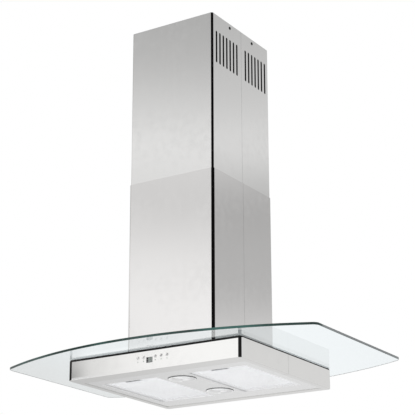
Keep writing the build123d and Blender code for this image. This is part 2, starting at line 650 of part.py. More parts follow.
def canopy_case():
    """Front and rear shells of the case, with folded lips at the top and the bottom."""
    shell = slab(CASE_WIDTH, CASE_DEPTH, BOTTOM_Z, CASE_TOP_Z, CASE_BEND)
    levels = shell.edges().group_by(Axis.Z)
    shell = fillet(levels[0] + levels[-1], CASE_EDGE)
    shell -= slab(
        CASE_WIDTH - 2 * CASE_SHEET, CASE_DEPTH - 2 * CASE_SHEET,
        BOTTOM_Z + CASE_SHEET, CASE_TOP_Z - CASE_SHEET, CASE_BEND - CASE_SHEET,
    )
    shell -= slab(
        CASE_WIDTH - 2 * CASE_FLANGE, CASE_DEPTH - 2 * CASE_FLANGE,
        CASE_TOP_Z - CASE_SHEET - CUT, CASE_TOP_Z + CUT, CASE_BEND,
    )
    shell -= block(
        -CASE_WIDTH / 2 + LIP_SIDE, CASE_WIDTH / 2 - LIP_SIDE,
        -CASE_DEPTH / 2 + LIP_FRONT, CASE_DEPTH / 2 - LIP_REAR,
        BOTTOM_Z - CUT, BOTTOM_Z + CASE_SHEET + CUT,
    )
    half = CASE_SHEET / 2
    core = slab(
        CASE_WIDTH - CASE_SHEET, CASE_DEPTH - CASE_SHEET,
        BOTTOM_Z + half, CASE_TOP_Z - half, CASE_BEND - half,
    )
    inset = half + LAP_GAP
    front_core = slab(
        CASE_WIDTH - 2 * inset, CASE_DEPTH - 2 * inset,
        BOTTOM_Z + inset, CASE_TOP_Z - inset, CASE_BEND - inset,
    )
    front, rear = lapped_halves(shell, core, front_core)
    return front - union(control_cutters()), rear


def canopy_top_plate():
    """Plate under the upper lips of the case, with the mouth of the motor box."""
    plate = slab(PANEL_WIDTH, PANEL_DEPTH, TOP_PLATE_Z - PLATE_SHEET, TOP_PLATE_Z, PANEL_CORNER)
    return plate - slab(
        MOTOR_BOX_WIDTH - 2 * MOTOR_BOX_SHEET, MOTOR_BOX_DEPTH - 2 * MOTOR_BOX_SHEET,
        TOP_PLATE_Z - PLATE_SHEET - CUT, TOP_PLATE_Z + CUT, MOTOR_BOX_BEND,
    )


def underside_panel():
    """Panel on the lower lips of the case: two flanged filter openings and two lamp holes."""
    panel = slab(PANEL_WIDTH, PANEL_DEPTH, PANEL_Z, PANEL_TOP_Z, PANEL_CORNER)
    for sign in (-1, 1):
        place = Pos(sign * FILTER_X, 0, 0)
        panel += place * slab(
            FILTER_WIDTH + 2 * PLATE_SHEET, FILTER_LENGTH + 2 * PLATE_SHEET, PANEL_Z, FLANGE_TOP_Z
        )
        panel -= place * slab(FILTER_WIDTH, FILTER_LENGTH, PANEL_Z - CUT, FLANGE_TOP_Z + CUT)
        panel -= rod(0, sign * LAMP_Y, PANEL_Z - CUT, PANEL_TOP_Z + CUT, LAMP_HOLE_RADIUS)
    return panel


# ---------------------------------------------------------------- grease filters
FILTER_FRONT_Y = -FILTER_LENGTH / 2 + FILTER_GAP
FILTER_REAR_Y = FILTER_LENGTH / 2 - FILTER_GAP
LATCH_FRONT_Y = FILTER_FRONT_Y + LATCH_WALL          # front wall of the finger recess
LATCH_REAR_Y = LATCH_FRONT_Y + LATCH_DEPTH
FILTER_Z = PANEL_Z + FILTER_RECESS                   # lower face of a filter
HOOK_Z = FLANGE_TOP_Z + LATCH_PLAY                   # tabs and tongue pass above the flange


def filter_frame():
    """Rim of a grease filter, with rear hook tabs and a finger recess at the front."""
    z0, z1 = FILTER_Z, FILTER_Z + FILTER_THICKNESS
    half = FILTER_WIDTH / 2 - FILTER_GAP
    rim = block(-half, half, FILTER_FRONT_Y, FILTER_REAR_Y, z0, z1)
    rim -= block(
        -half + FILTER_RIM, half - FILTER_RIM,
        FILTER_FRONT_Y + FILTER_RIM, FILTER_REAR_Y - FILTER_RIM, z0 - CUT, z1 + CUT,
    )
    outer = LATCH_WIDTH / 2 + LATCH_WALL
    rim += block(-outer, outer, FILTER_FRONT_Y, LATCH_REAR_Y + LATCH_WALL, z0, z1)
    rim -= block(
        -LATCH_WIDTH / 2, LATCH_WIDTH / 2, LATCH_FRONT_Y, LATCH_REAR_Y, z0 - CUT, z1 - LATCH_FLOOR
    )
    tongue = LATCH_TONGUE_WIDTH / 2 + LATCH_PLAY
    rim -= block(
        -tongue, tongue, FILTER_FRONT_Y - CUT, LATCH_FRONT_Y + CUT,
        HOOK_Z - LATCH_PLAY, HOOK_Z + LATCH_TONGUE_HEIGHT + LATCH_PLAY,
    )
    for x in (-TAB_X, TAB_X):
        rim += block(
            x - TAB_WIDTH / 2, x + TAB_WIDTH / 2, FILTER_REAR_Y - CUT, FILTER_REAR_Y + TAB_REACH,
            HOOK_Z, HOOK_Z + TAB_SHEET,
        )
    return rim


def filter_mesh():
    """Pad of aluminium mesh inside a filter's rim, notched round the finger recess."""
    half = FILTER_WIDTH / 2 - FILTER_GAP - FILTER_RIM
    z0 = FILTER_Z + MESH_RECESS
    pad = block(
        -half, half, FILTER_FRONT_Y + FILTER_RIM, FILTER_REAR_Y - FILTER_RIM,
        z0, z0 + MESH_THICKNESS,
    )
    outer, rear = LATCH_WIDTH / 2 + LATCH_WALL, LATCH_REAR_Y + LATCH_WALL
    return pad - block(-outer, outer, FILTER_FRONT_Y, rear, z0 - CUT, z0 + MESH_THICKNESS + CUT)


def latch_slider():
    """Finger bar in the recess, with the tongue that points at the opening's front edge."""
    half = LATCH_WIDTH / 2 - LATCH_PLAY
    ceiling = FILTER_Z + FILTER_THICKNESS - LATCH_FLOOR - LATCH_PLAY
    bar_y = LATCH_FRONT_Y + LATCH_PLAY
    bar = block(
        -half, half, bar_y, bar_y + LATCH_BAR_DEPTH, ceiling - LATCH_BAR_HEIGHT, ceiling
    )
    tongue = block(
        -LATCH_TONGUE_WIDTH / 2, LATCH_TONGUE_WIDTH / 2, FILTER_FRONT_Y, bar_y + CUT,
        HOOK_Z, HOOK_Z + LATCH_TONGUE_HEIGHT,
    )
    return union([bar, tongue])


# ---------------------------------------------------------------- lamps
def lamp_ring():
    """Bezel in the strip: a flat ring below the panel, a neck through it and the lens seat."""
    ring = rod(0, 0, BOTTOM_Z, PANEL_Z, LAMP_RING_RADIUS)
    ring += rod(0, 0, PANEL_Z, PANEL_Z + LAMP_NECK, LAMP_HOLE_RADIUS - LAMP_PLAY)
    seat = PANEL_Z + LAMP_SEAT
    ring -= rod(0, 0, seat, PANEL_Z + LAMP_NECK + CUT, LAMP_GLASS_RADIUS + LAMP_PLAY)
    ring -= rod(0, 0, BOTTOM_Z - CUT, seat + CUT, LAMP_OPEN_RADIUS)
    edges = ring.edges().filter_by(GeomType.CIRCLE).group_by(Axis.Z)[0]
    return chamfer(edges, LAMP_RING_EDGE)


def lamp_lens():
    """Frosted disc in the bezel."""
    seat = PANEL_Z + LAMP_SEAT
    return rod(0, 0, seat, seat + LAMP_LENS, LAMP_GLASS_RADIUS)


def lamp_housing():
    """Cup above the bezel, open below, with the lamp holder in its roof."""
    z0 = PANEL_Z + LAMP_NECK
    z1 = z0 + LAMP_CUP_HEIGHT - LAMP_NECK
    outer = LAMP_HOLE_RADIUS - LAMP_PLAY
    cup = rod(0, 0, z0, z1, outer) - rod(0, 0, z0 - CUT, z1 - LAMP_WALL, outer - LAMP_WALL)
    socket = rod(0, 0, z1 - LAMP_WALL - SOCKET_HEIGHT, z1 - LAMP_WALL / 2, SOCKET_RADIUS)
    return union([cup, socket])


def lamp_bulbs():
    """Capsule bulbs under the holders of both lamps."""
    top = PANEL_Z + LAMP_CUP_HEIGHT - LAMP_WALL - SOCKET_HEIGHT
    bulb = rod(0, 0, top - BULB_LENGTH + BULB_RADIUS, top, BULB_RADIUS)
    bulb += Pos(0, 0, top - BULB_LENGTH + BULB_RADIUS) * Sphere(BULB_RADIUS)
    return group([Pos(0, sign * LAMP_Y, 0) * bulb for sign in (-1, 1)])


# ---------------------------------------------------------------- controls
BOARD_Y = FRONT_Y + CASE_SHEET + HOUSING_DEPTH - BOARD_SHEET - BOARD_INSET
KEY_BACK_Y = FRONT_Y + CASE_SHEET + KEY_PLAY         # front face of the keys' collars
GUIDE_Y = KEY_BACK_Y + KEY_COLLAR_SHEET + KEY_TRAVEL + KEY_PLAY
HOUSING_Z = BOTTOM_Z + DISPLAY_CENTRE


def control_housing():
    """Open-backed tray behind the case front, with a guide wall for the keys."""
    half = HOUSING_WIDTH / 2
    y0 = FRONT_Y + CASE_SHEET
    y1 = y0 + HOUSING_DEPTH
    z0, z1 = HOUSING_Z - HOUSING_HEIGHT / 2, HOUSING_Z + HOUSING_HEIGHT / 2
    tray = block(-half, half, y0, y1, z0, z1)
    tray -= block(
        -half + HOUSING_WALL, half - HOUSING_WALL, y0 - CUT, GUIDE_Y,
        z0 + HOUSING_WALL, z1 - HOUSING_WALL,
    )
    tray -= block(
        -half + HOUSING_WALL, half - HOUSING_WALL, GUIDE_Y + HOUSING_WALL, y1 + CUT,
        z0 + HOUSING_WALL, z1 - HOUSING_WALL,
    )
    for slot in KEY_SLOTS:
        x = CONTROL_START + slot * CONTROL_PITCH
        z = BOTTOM_Z + KEY_HEIGHT
        tray -= rod_y(x, GUIDE_Y - CUT, y1, z, KEY_STEM + KEY_PLAY)
        tray -= rod_y(x, GUIDE_Y - CUT, y1, z - LED_DROP, LED_RADIUS + KEY_PLAY)
    for sign in (-1, 1):
        for z in (z0 + STANDOFF_INSET, z1 - STANDOFF_INSET):
            x = sign * (half - STANDOFF_INSET)
            tray += rod_y(x, GUIDE_Y + HOUSING_WALL, BOARD_Y, z, STANDOFF_RADIUS)
    return tray


def control_board():
    """Circuit board behind the guide wall, with one light pipe under each key."""
    half = HOUSING_WIDTH / 2 - HOUSING_WALL - KEY_PLAY
    height = HOUSING_HEIGHT / 2 - HOUSING_WALL - KEY_PLAY
    z0, z1 = HOUSING_Z - height, HOUSING_Z + height
    board = block(-half, half, BOARD_Y, BOARD_Y + BOARD_SHEET, z0, z1)
    pipes = []
    for slot in KEY_SLOTS:
        x = CONTROL_START + slot * CONTROL_PITCH
        z = BOTTOM_Z + KEY_HEIGHT - LED_DROP
        pipes.append(rod_y(x, FRONT_Y, BOARD_Y + BOARD_SHEET / 2, z, LED_RADIUS))
    return union([board] + pipes)


def display_window():
    """Smoked window just behind the case front, seated on the guide wall."""
    x = CONTROL_START + DISPLAY_SLOT * CONTROL_PITCH
    width, height = DISPLAY_WIDTH / 2 - DISPLAY_PLAY, DISPLAY_HEIGHT / 2 - DISPLAY_PLAY
    y0 = FRONT_Y + DISPLAY_PLAY
    return block(x - width, x + width, y0, GUIDE_Y, HOUSING_Z - height, HOUSING_Z + height)


def control_key(slot):
    """Round push key: cap, collar behind the panel, and a stem that reaches the board's switch."""
    x = CONTROL_START + slot * CONTROL_PITCH
    z = BOTTOM_Z + KEY_HEIGHT
    cap = rod_y(x, FRONT_Y - KEY_PROUD, KEY_BACK_Y + CUT / 2, z, KEY_RADIUS)
    collar = rod_y(x, KEY_BACK_Y, KEY_BACK_Y + KEY_COLLAR_SHEET, z, KEY_COLLAR)
    stem = rod_y(x, KEY_BACK_Y, BOARD_Y - KEY_TRAVEL - KEY_PLAY, z, KEY_STEM)
    return union([cap, collar, stem])


# ---------------------------------------------------------------- motor box, lid and outlet
def motor_box():
    """Open-bottomed box that stands on the canopy's top plate and passes through the glass."""
    walls = tube(
        MOTOR_BOX_WIDTH, MOTOR_BOX_DEPTH, MOTOR_BOX_SHEET, TOP_PLATE_Z, LID_Z, MOTOR_BOX_BEND
    )
    flange = slab(
        MOTOR_BOX_WIDTH + 2 * MOTOR_BOX_FLANGE, MOTOR_BOX_DEPTH + 2 * MOTOR_BOX_FLANGE,
        TOP_PLATE_Z, TOP_PLATE_Z + MOTOR_BOX_SHEET, MOTOR_BOX_BEND,
    )
    flange -= slab(
        MOTOR_BOX_WIDTH - 2 * MOTOR_BOX_SHEET, MOTOR_BOX_DEPTH - 2 * MOTOR_BOX_SHEET,
        TOP_PLATE_Z - CUT, TOP_PLATE_Z + MOTOR_BOX_SHEET + CUT, MOTOR_BOX_BEND - MOTOR_BOX_SHEET,
    )
    return union([walls, flange])


def throat_span():
    """Front and rear faces of the blower's outlet throat, inside its walls."""
    front = AXLE_Y + SCROLL_NOSE_Y
    rear = AXLE_Y + sum_of_arcs()[0]
    return front, rear


def sum_of_arcs():
    """Where the scroll's three quarter arcs end, from the axle: Y and Z."""
    r1, r2, r3 = SCROLL_RADII
    y = -r1 + r2 + r3
    z = SCROLL_START - r1 - r2 + r3
    return y, z


def motor_box_lid():
    """Lid with the blower's mouth, the foot screws' holes and the cable hole."""
    lid = slab(MOTOR_BOX_WIDTH, MOTOR_BOX_DEPTH, LID_Z, LID_TOP_Z, MOTOR_BOX_BEND)
    front, rear = throat_span()
    half = SCROLL_HALF_WIDTH - SCROLL_WALL
    lid -= block(-half, half, front, rear, LID_Z - CUT, LID_TOP_Z + CUT)
    for sx, sy in CORNERS.values():
        x, y = foot_bolt(LOWER_RAIL_X, LOWER_RAIL_Y)
        lid -= rod(sx * x, sy * y, LID_Z - CUT, LID_TOP_Z + CUT, BOLT_RADIUS + BOLT_FIT)
    return lid - rod(0, terminal_y(), LID_Z - CUT, LID_TOP_Z + CUT, GLAND_THREAD)


def terminal_y():
    """Middle of the terminal box, in front of the outlet."""
    front = COLLAR_BOX_Y - COLLAR_BOX_DEPTH / 2 - COLLAR_FOOT
    return (front - MOTOR_BOX_DEPTH / 2) / 2


def outlet_collar():
    """Transition box on the lid with the round duct spigot, its flap seat and pin holes."""
    wall = COLLAR_WALL
    box_top = COLLAR_Z
    place = Pos(0, COLLAR_BOX_Y, 0)
    body = place * slab(COLLAR_BOX_WIDTH, COLLAR_BOX_DEPTH, LID_TOP_Z, box_top, COLLAR_BOX_BEND)
    foot = place * slab(
        COLLAR_BOX_WIDTH + 2 * COLLAR_FOOT, COLLAR_BOX_DEPTH + 2 * COLLAR_FOOT,
        LID_TOP_Z, LID_TOP_Z + wall, COLLAR_BOX_BEND + COLLAR_FOOT,
    )
    body = union([body, foot, rod(0, 0, box_top - wall, box_top + COLLAR_LENGTH, COLLAR_RADIUS)])
    body -= place * slab(
        COLLAR_BOX_WIDTH - 2 * wall, COLLAR_BOX_DEPTH - 2 * wall,
        LID_TOP_Z - CUT, box_top - wall, COLLAR_BOX_BEND - wall,
    )
    bore = COLLAR_RADIUS - wall
    body -= rod(0, 0, box_top - 2 * wall, flap_seat_z() - wall, bore)
    body -= rod(0, 0, box_top, box_top + COLLAR_LENGTH + CUT, bore - COLLAR_SEAT)
    body -= rod(0, 0, flap_seat_z(), box_top + COLLAR_LENGTH + CUT, bore)
    for sign in (-1, 1):
        body -= rod_y(
            sign * FLAP_PIN_X, -COLLAR_RADIUS - CUT, COLLAR_RADIUS + CUT,
            flap_z(), FLAP_PIN_RADIUS + FLAP_PIN_PLAY,
        )
    return body


def flap_z():
    """Height of the flaps' pins."""
    return COLLAR_Z + FLAP_HEIGHT


def flap_seat_z():
    """Upper face of the ledge under the closed flaps."""
    return flap_z() - FLAP_PIN_RADIUS - REST_GAP


def damper_flap(sign):
    """Half-round flap with its pin along Y; it opens upwards."""
    radius = COLLAR_RADIUS - COLLAR_WALL - FLAP_GAP
    z0 = flap_z() - FLAP_PIN_RADIUS
    plate = rod(0, 0, z0, z0 + FLAP_SHEET, radius)
    plate &= block(FLAP_PIN_X, HALF, -HALF, HALF, -HALF, HALF)
    side = FLAP_PIN_X + FLAP_PIN_RADIUS
    reach = (COLLAR_RADIUS**2 - side**2) ** 0.5 - FLAP_PIN_INSET
    flap = union([plate, rod_y(FLAP_PIN_X, -reach, reach, flap_z(), FLAP_PIN_RADIUS)])
    return flap if sign > 0 else flap.mirror(Plane.YZ)


def terminal_box():
    """Connection box on the lid, open below."""
    y = terminal_y()
    place = Pos(0, y, 0)
    wall = TERMINAL_WALL
    top = LID_TOP_Z + TERMINAL_HEIGHT
    box = place * slab(TERMINAL_WIDTH, TERMINAL_DEPTH, LID_TOP_Z, top, TERMINAL_BEND)
    box -= place * slab(
        TERMINAL_WIDTH - 2 * wall, TERMINAL_DEPTH - 2 * wall,
        LID_TOP_Z - CUT, top - wall, TERMINAL_BEND - wall,
    )
    return box - rod(0, y, top - wall - CUT, top + CUT, GLAND_THREAD + GLAND_PLAY)


def cable_gland():
    """Gland in the terminal box roof: thread, hexagon and dome nut with the cable bore."""
    y = terminal_y()
    top = LID_TOP_Z + TERMINAL_HEIGHT
    foot = top - TERMINAL_WALL - GLAND_THREAD_REACH
    thread = rod(0, y, foot, top + CUT, GLAND_THREAD)
    hexagon = Pos(0, y, top) * extrude(RegularPolygon(GLAND_RADIUS, 6), GLAND_HEX_HEIGHT)
    dome = rod(0, y, top + GLAND_HEX_HEIGHT, top + GLAND_HEIGHT, GLAND_RADIUS - GLAND_DOME_STEP)
    dome = fillet(dome.edges().group_by(Axis.Z)[-1], GLAND_DOME_ROUND)
    gland = union([thread, hexagon, dome])
    return gland - rod(0, y, foot - CUT, top + GLAND_HEIGHT + CUT, GLAND_BORE)


# ---------------------------------------------------------------- blower
def axle_place():
    """Local YZ sketches are drawn about the axle."""
    return Pos(0, AXLE_Y, AXLE_Z)


def scroll_outline(offset):
    """Side view of the scroll about the axle, grown by offset: u is +Y and v is +Z."""
    r1, r2, r3 = (radius + offset for radius in SCROLL_RADII)
    start = SCROLL_START + offset
    lid = LID_Z - AXLE_Z
    first = JernArc((0, start), (-1, 0), r1, 90)
    second = JernArc(first @ 1, first % 1, r2, 90)
    third = JernArc(second @ 1, second % 1, r3, 90)
    rear = third @ 1
    nose = SCROLL_NOSE_Y - offset
    lines = Curve() + [
        first, second, third,
        Line(rear, (rear.X, lid)),
        Line((rear.X, lid), (nose, lid)),
        Line((nose, lid), (nose, start)),
        Line((nose, start), (0, start)),
    ]
    return make_face(lines)


def scroll_prism(offset, x0, x1):
    """The scroll's outline extruded between two planes across X."""
    face = scroll_outline(offset)
    prism = Plane.YZ * extrude(face, x1 - x0)
    return Pos(x0, AXLE_Y, AXLE_Z) * prism


def scroll_half(sign):
    """Half of the blower housing: side wall with the inlet, and half of the spiral wall."""
    outer = scroll_prism(SCROLL_WALL, 0, SCROLL_HALF_WIDTH)
    inner = scroll_prism(0, -CUT, SCROLL_HALF_WIDTH - SCROLL_WALL)
    lip = SCROLL_HALF_WIDTH + INLET_LIP
    inlet = rod_x(SCROLL_HALF_WIDTH - SCROLL_WALL, lip, AXLE_Y, AXLE_Z, INLET_RADIUS + SCROLL_WALL)
    hole = rod_x(SCROLL_HALF_WIDTH - 2 * SCROLL_WALL, lip + CUT, AXLE_Y, AXLE_Z, INLET_RADIUS)
    half = union([outer - inner, inlet]) - hole
    return half if sign > 0 else half.mirror(Plane.YZ)


def impeller():
    """Drum of forward-leaning blades between two end rings, with a middle disc and a hub."""
    half = IMPELLER_WIDTH / 2
    middle = IMPELLER_RADIUS - IMPELLER_RING / 2 - BLADE_SHEET
    parts = [
        rod_x(-DISC_SHEET / 2, DISC_SHEET / 2, 0, 0, IMPELLER_RADIUS - DISC_SHEET / 2),
        rod_x(-HUB_LENGTH / 2 + HUB_OFFSET, HUB_LENGTH / 2 + HUB_OFFSET, 0, 0, HUB_RADIUS),
    ]
    for sign in (-1, 1):
        x0, x1 = sorted((sign * half, sign * (half - IMPELLER_RING_WIDTH)))
        ring = rod_x(x0, x1, 0, 0, IMPELLER_RADIUS)
        parts.append(ring - rod_x(x0 - CUT, x1 + CUT, 0, 0, IMPELLER_RADIUS - IMPELLER_RING))
    for i in range(BLADE_COUNT):
        turn = Rot(360 * i / BLADE_COUNT, 0, 0)
        lean = Pos(0, middle - BLADE_INSET, 0) * Rot(BLADE_LEAN, 0, 0)
        parts.append(turn * lean * Box(IMPELLER_WIDTH - 2 * BLADE_END, BLADE_SPAN, BLADE_SHEET))
    drum = union(parts)
    drum -= rod_x(-half, half, 0, 0, SHAFT_RADIUS)
    return axle_place() * drum


def motor_face():
    """Inner end of the motor, beside the impeller's hub."""
    return -HUB_LENGTH / 2 + HUB_OFFSET - MOTOR_GAP


def motor_shaft():
    """Shaft from the motor into the impeller's hub."""
    start, end = motor_face() - MOTOR_BEARING, HUB_LENGTH / 2 + HUB_OFFSET
    return axle_place() * rod_x(start, end, 0, 0, SHAFT_RADIUS)


def motor():
    """Motor body inside the drum, with its shaft bearing and end boss."""
    x1 = motor_face()
    x0 = x1 - MOTOR_LENGTH
    body = rod_x(x0, x1, 0, 0, MOTOR_RADIUS)
    body = chamfer(body.edges().filter_by(GeomType.CIRCLE), MOTOR_EDGE)
    boss = rod_x(x0 - MOTOR_BOSS_LENGTH, x0 + CUT, 0, 0, MOTOR_BOSS_RADIUS)
    bearing = rod_x(x1 - MOTOR_BEARING - CUT, x1 + CUT, 0, 0, SHAFT_RADIUS + SHAFT_PLAY)
    return axle_place() * (union([body, boss]) - bearing)


def motor_bracket():
    """Spider that carries the motor in the left inlet."""
    x1 = motor_face() - MOTOR_LENGTH
    x0 = x1 - BRACKET_SHEET
    parts = [rod_x(x0, x1, 0, 0, BRACKET_RING) - rod_x(x0 - CUT, x1 + CUT, 0, 0, BRACKET_BORE)]
    reach, half = INLET_RADIUS + BRACKET_REACH, BRACKET_ARM / 2
    for i in range(BRACKET_ARMS):
        turn = Rot(90 + 360 * i / BRACKET_ARMS, 0, 0)
        arm = block(x0, x1, BRACKET_ROOT, reach, -half, half)
        post = block(x0, -SCROLL_HALF_WIDTH, reach - BRACKET_SHEET, reach, -half, half)
        parts += [turn * arm, turn * post]
    return axle_place() * union(parts)


# ---------------------------------------------------------------- all nodes
def build_nodes():
    """Every node of the hood by name."""
    nodes = {
        "ceiling_plate": ceiling_plate(),
        "ceiling_nuts": ceiling_nuts(),
        "upper_frame_brace": upper_brace(),
        "lower_frame_brace": lower_brace(),
        "frame_bolts": frame_bolts(),
        "upper_chimney_screws": cover_screws(),
        "lower_chimney_base": lower_chimney_base(),
        "glass_canopy": glass_canopy(),
        "glass_gaskets": glass_gaskets(),
        "glass_clamp_ring": glass_clamp_ring(),
        "canopy_top_plate": canopy_top_plate(),
        "underside_panel": underside_panel(),
        "motor_box": motor_box(),
        "motor_box_lid": motor_box_lid(),
        "outlet_collar": outlet_collar(),
        "terminal_box": terminal_box(),
        "cable_gland": cable_gland(),
        "scroll_housing_left": scroll_half(-1),
        "scroll_housing_right": scroll_half(1),
        "impeller": impeller(),
        "motor_shaft": motor_shaft(),
        "motor": motor(),
        "motor_bracket": motor_bracket(),
        "damper_flap_left": damper_flap(-1),
        "damper_flap_right": damper_flap(1),
        "lamp_bulbs": lamp_bulbs(),
        "control_housing": control_housing(),
        "control_board": control_board(),
        "display_window": display_window(),
    }
    nodes["upper_chimney_front"], nodes["upper_chimney_rear"] = upper_chimney()
    nodes["lower_chimney_front"], nodes["lower_chimney_rear"] = lower_chimney()
    nodes["canopy_front_shell"], nodes["canopy_rear_shell"] = canopy_case()
    for corner, (sx, sy) in CORNERS.items():
        nodes[f"upper_rail_{corner}"] = quarter(upper_rail(), sx, sy)
        nodes[f"lower_rail_{corner}"] = quarter(lower_rail(), sx, sy)
    for side, sign in (("left", -1), ("right", 1)):
        place = Pos(sign * FILTER_X, 0, 0)
        nodes[f"filter_frame_{side}"] = place * filter_frame()
        nodes[f"filter_mesh_{side}"] = place * filter_mesh()
        nodes[f"latch_slider_{side}"] = place * latch_slider()
    for end, sign in (("front", -1), ("rear", 1)):
        place = Pos(0, sign * LAMP_Y, 0)
        nodes[f"lamp_ring_{end}"] = place * lamp_ring()
        nodes[f"lamp_lens_{end}"] = place * lamp_lens()
        nodes[f"lamp_housing_{end}"] = place * lamp_housing()
    for name, slot in zip(KEY_NAMES, KEY_SLOTS):
        nodes[f"key_{name}"] = control_key(slot)
    return nodes


def main():
    """Write one STEP file for each node."""
    os.makedirs("parts", exist_ok=True)
    for name, shape in build_nodes().items():
        export_step(shape, f"parts/{name}.step")


main()
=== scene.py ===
"""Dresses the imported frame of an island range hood: glass canopy, steel case, telescopic chimney.

The frame's origin is the middle of the ceiling face, +Z is up and the controls face -Y. Sizes in
the classes are millimetres in that frame, and every mesh is made in metres.
"""

import logging
import math
import sys
from collections.abc import Callable
from dataclasses import dataclass, field
from enum import Enum
from functools import reduce

import bmesh
import bpy
import numpy as np
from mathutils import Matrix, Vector

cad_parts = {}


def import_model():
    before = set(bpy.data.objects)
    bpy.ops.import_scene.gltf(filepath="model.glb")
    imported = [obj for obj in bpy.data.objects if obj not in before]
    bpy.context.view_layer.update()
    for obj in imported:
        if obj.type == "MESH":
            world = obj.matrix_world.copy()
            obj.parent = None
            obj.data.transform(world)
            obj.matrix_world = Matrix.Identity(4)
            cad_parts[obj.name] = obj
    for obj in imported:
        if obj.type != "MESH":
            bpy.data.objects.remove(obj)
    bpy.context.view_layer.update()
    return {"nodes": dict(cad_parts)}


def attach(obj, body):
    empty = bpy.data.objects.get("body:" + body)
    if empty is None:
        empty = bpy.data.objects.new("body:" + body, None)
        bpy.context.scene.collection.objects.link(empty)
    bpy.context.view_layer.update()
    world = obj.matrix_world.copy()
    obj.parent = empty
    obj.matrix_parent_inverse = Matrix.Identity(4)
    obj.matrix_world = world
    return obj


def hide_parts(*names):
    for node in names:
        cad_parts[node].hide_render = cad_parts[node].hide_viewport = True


LOG = logging.getLogger("range_hood")
MM = 0.001
DEGREES = 180 / math.pi
Colour = tuple[float, float, float]
Node = bpy.types.Node
Socket = bpy.types.NodeSocket
Outputs = bpy.types.NodeOutputs
WHITE = (1.0, 1.0, 1.0)
DUST_ON_STEEL = (0.62, 0.60, 0.57)
DUST_ON_ZINC = (0.55, 0.53, 0.50)
DUST_ON_PLASTIC = (0.45, 0.43, 0.40)
GLASS_IOR = 1.5
WELD = 0.0005
EASED_FROM = 40.0
SPLIT_FROM = 35.0


# ---------------------------------------------------------------- shader trees
class Graph:
    """A shader tree with short ways to add nodes and to join them."""

    def __init__(self, tree: bpy.types.NodeTree) -> None:
        """Keeps the tree that the nodes go into."""
        self.tree = tree

    def feed(self, socket: Socket, value: object) -> None:
        """Joins another node's output to a socket, or sets the socket's own value.

        Args:
            socket: the input.
            value: an output, or a plain number, vector or colour of three numbers.
        """
        if isinstance(value, Socket):
            self.tree.links.new(value, socket)
        else:
            socket.default_value = (*value, 1.0) if socket.type == "RGBA" else value

    def add(self, kind: str, inputs: dict | None = None, **settings: object) -> Node:
        """Adds a node.

        Args:
            kind: the node's type, without ShaderNode before it.
            inputs: what its sockets get, by name or number.
            settings: its own settings.

        Returns:
            The new node.
        """
        node = self.tree.nodes.new(kind if kind.startswith("NodeGroup") else f"ShaderNode{kind}")
        for key, value in settings.items():
            setattr(node, key, value)
        for key, value in (inputs or {}).items():
            self.feed(node.inputs[key], value)
        return node

    def math(self, operation: str, first: object, second: object = 0.0) -> Socket:
        """A Math node on one or two numbers or outputs."""
        return self.add("Math", {0: first, 1: second}, operation=operation).outputs[0]

    def times(self, *values: object) -> Socket:
        """The product of numbers and outputs."""
        return reduce(lambda first, second: self.math("MULTIPLY", first, second), values)

    def plus(self, *values: object) -> Socket:
        """The sum of numbers and outputs."""
        return reduce(lambda first, second: self.math("ADD", first, second), values)

    def rest(self, value: object) -> Socket:
        """One less a number."""
        return self.math("SUBTRACT", 1.0, value)

    def most(self, *values: object) -> Socket:
        """The largest of some numbers and outputs."""
        return reduce(lambda first, second: self.math("MAXIMUM", first, second), values)

    def size(self, value: object) -> Socket:
        """A number without its sign."""
        return self.math("ABSOLUTE", value)

    def vector(self, operation: str, first: object, second: object) -> Outputs:
        """A Vector Math node on two vectors."""
        return self.add("VectorMath", {0: first, 1: second}, operation=operation).outputs

    def between(self, value: object, low: object, high: object, at_low: float = 0.0,
                at_high: float = 1.0) -> Socket:
        """Carries a range of a number smoothly onto another range, and stops at its ends."""
        numbers = {0: value, 1: low, 2: high, 3: at_low, 4: at_high}
        return self.add("MapRange", numbers, interpolation_type="SMOOTHSTEP").outputs["Result"]

    def mix(self, share: object, first: object, second: object) -> Socket:
        """Mixes two colours, with a share of the second."""
        return self.add("Mix", {0: share, 6: first, 7: second}, data_type="RGBA").outputs[2]

    def shown(self, share: object, first: Socket, second: Socket) -> Socket:
        """Mixes two surfaces, with a share of the second."""
        return self.add("MixShader", {0: share, 1: first, 2: second}).outputs[0]

    def effect(self, effect: "type[Effect]", **inputs: object) -> Outputs:
        """Places a shared effect.

        Args:
            effect: which one.
            inputs: its inputs.

        Returns:
            The group node's outputs.
        """
        node = self.add("Group", node_tree=effect.tree())
        for key, value in inputs.items():
            self.feed(node.inputs[key], value)
        return node.outputs

    def spot(self) -> Socket:
        """The place on the piece, in metres in the shared frame."""
        return self.add("TexCoord").outputs["Object"]

    def own_normal(self) -> Socket:
        """The normal in the piece's own frame, which no pose turns."""
        return self.add("TexCoord").outputs["Normal"]

    def split(self, vector: Socket) -> Outputs:
        """A vector's X, Y and Z."""
        return self.add("SeparateXYZ", {0: vector}).outputs

    def noise(self, scale: object, detail: float = 2.0, at: Socket | None = None) -> Socket:
        """Clouds of a scale in metres, on the piece's own place if no other is given."""
        vector = self.spot() if at is None else at
        return self.add("TexNoise", {"Vector": vector, "Scale": scale, "Detail": detail}).outputs[0]

    def ramp(self, value: object, stops: tuple[tuple[float, float], ...]) -> Socket:
        """Reads a number off a line through several stops, level before the first and after the
        last.

        Args:
            value: the number.
            stops: pairs of a number and its result, in order.

        Returns:
            The result's socket.
        """
        low, high = stops[0][0], stops[-1][0]
        share = self.add("MapRange", {0: value, 1: low, 2: high}).outputs["Result"]
        node = self.add("ValToRGB", {0: share})
        points = node.color_ramp.elements
        while len(points) < len(stops):
            points.new(1.0)
        for point, (at, result) in zip(points, stops):
            point.position = (at - low) / (high - low)
            point.color = (result, result, result, 1.0)
        return node.outputs["Color"]


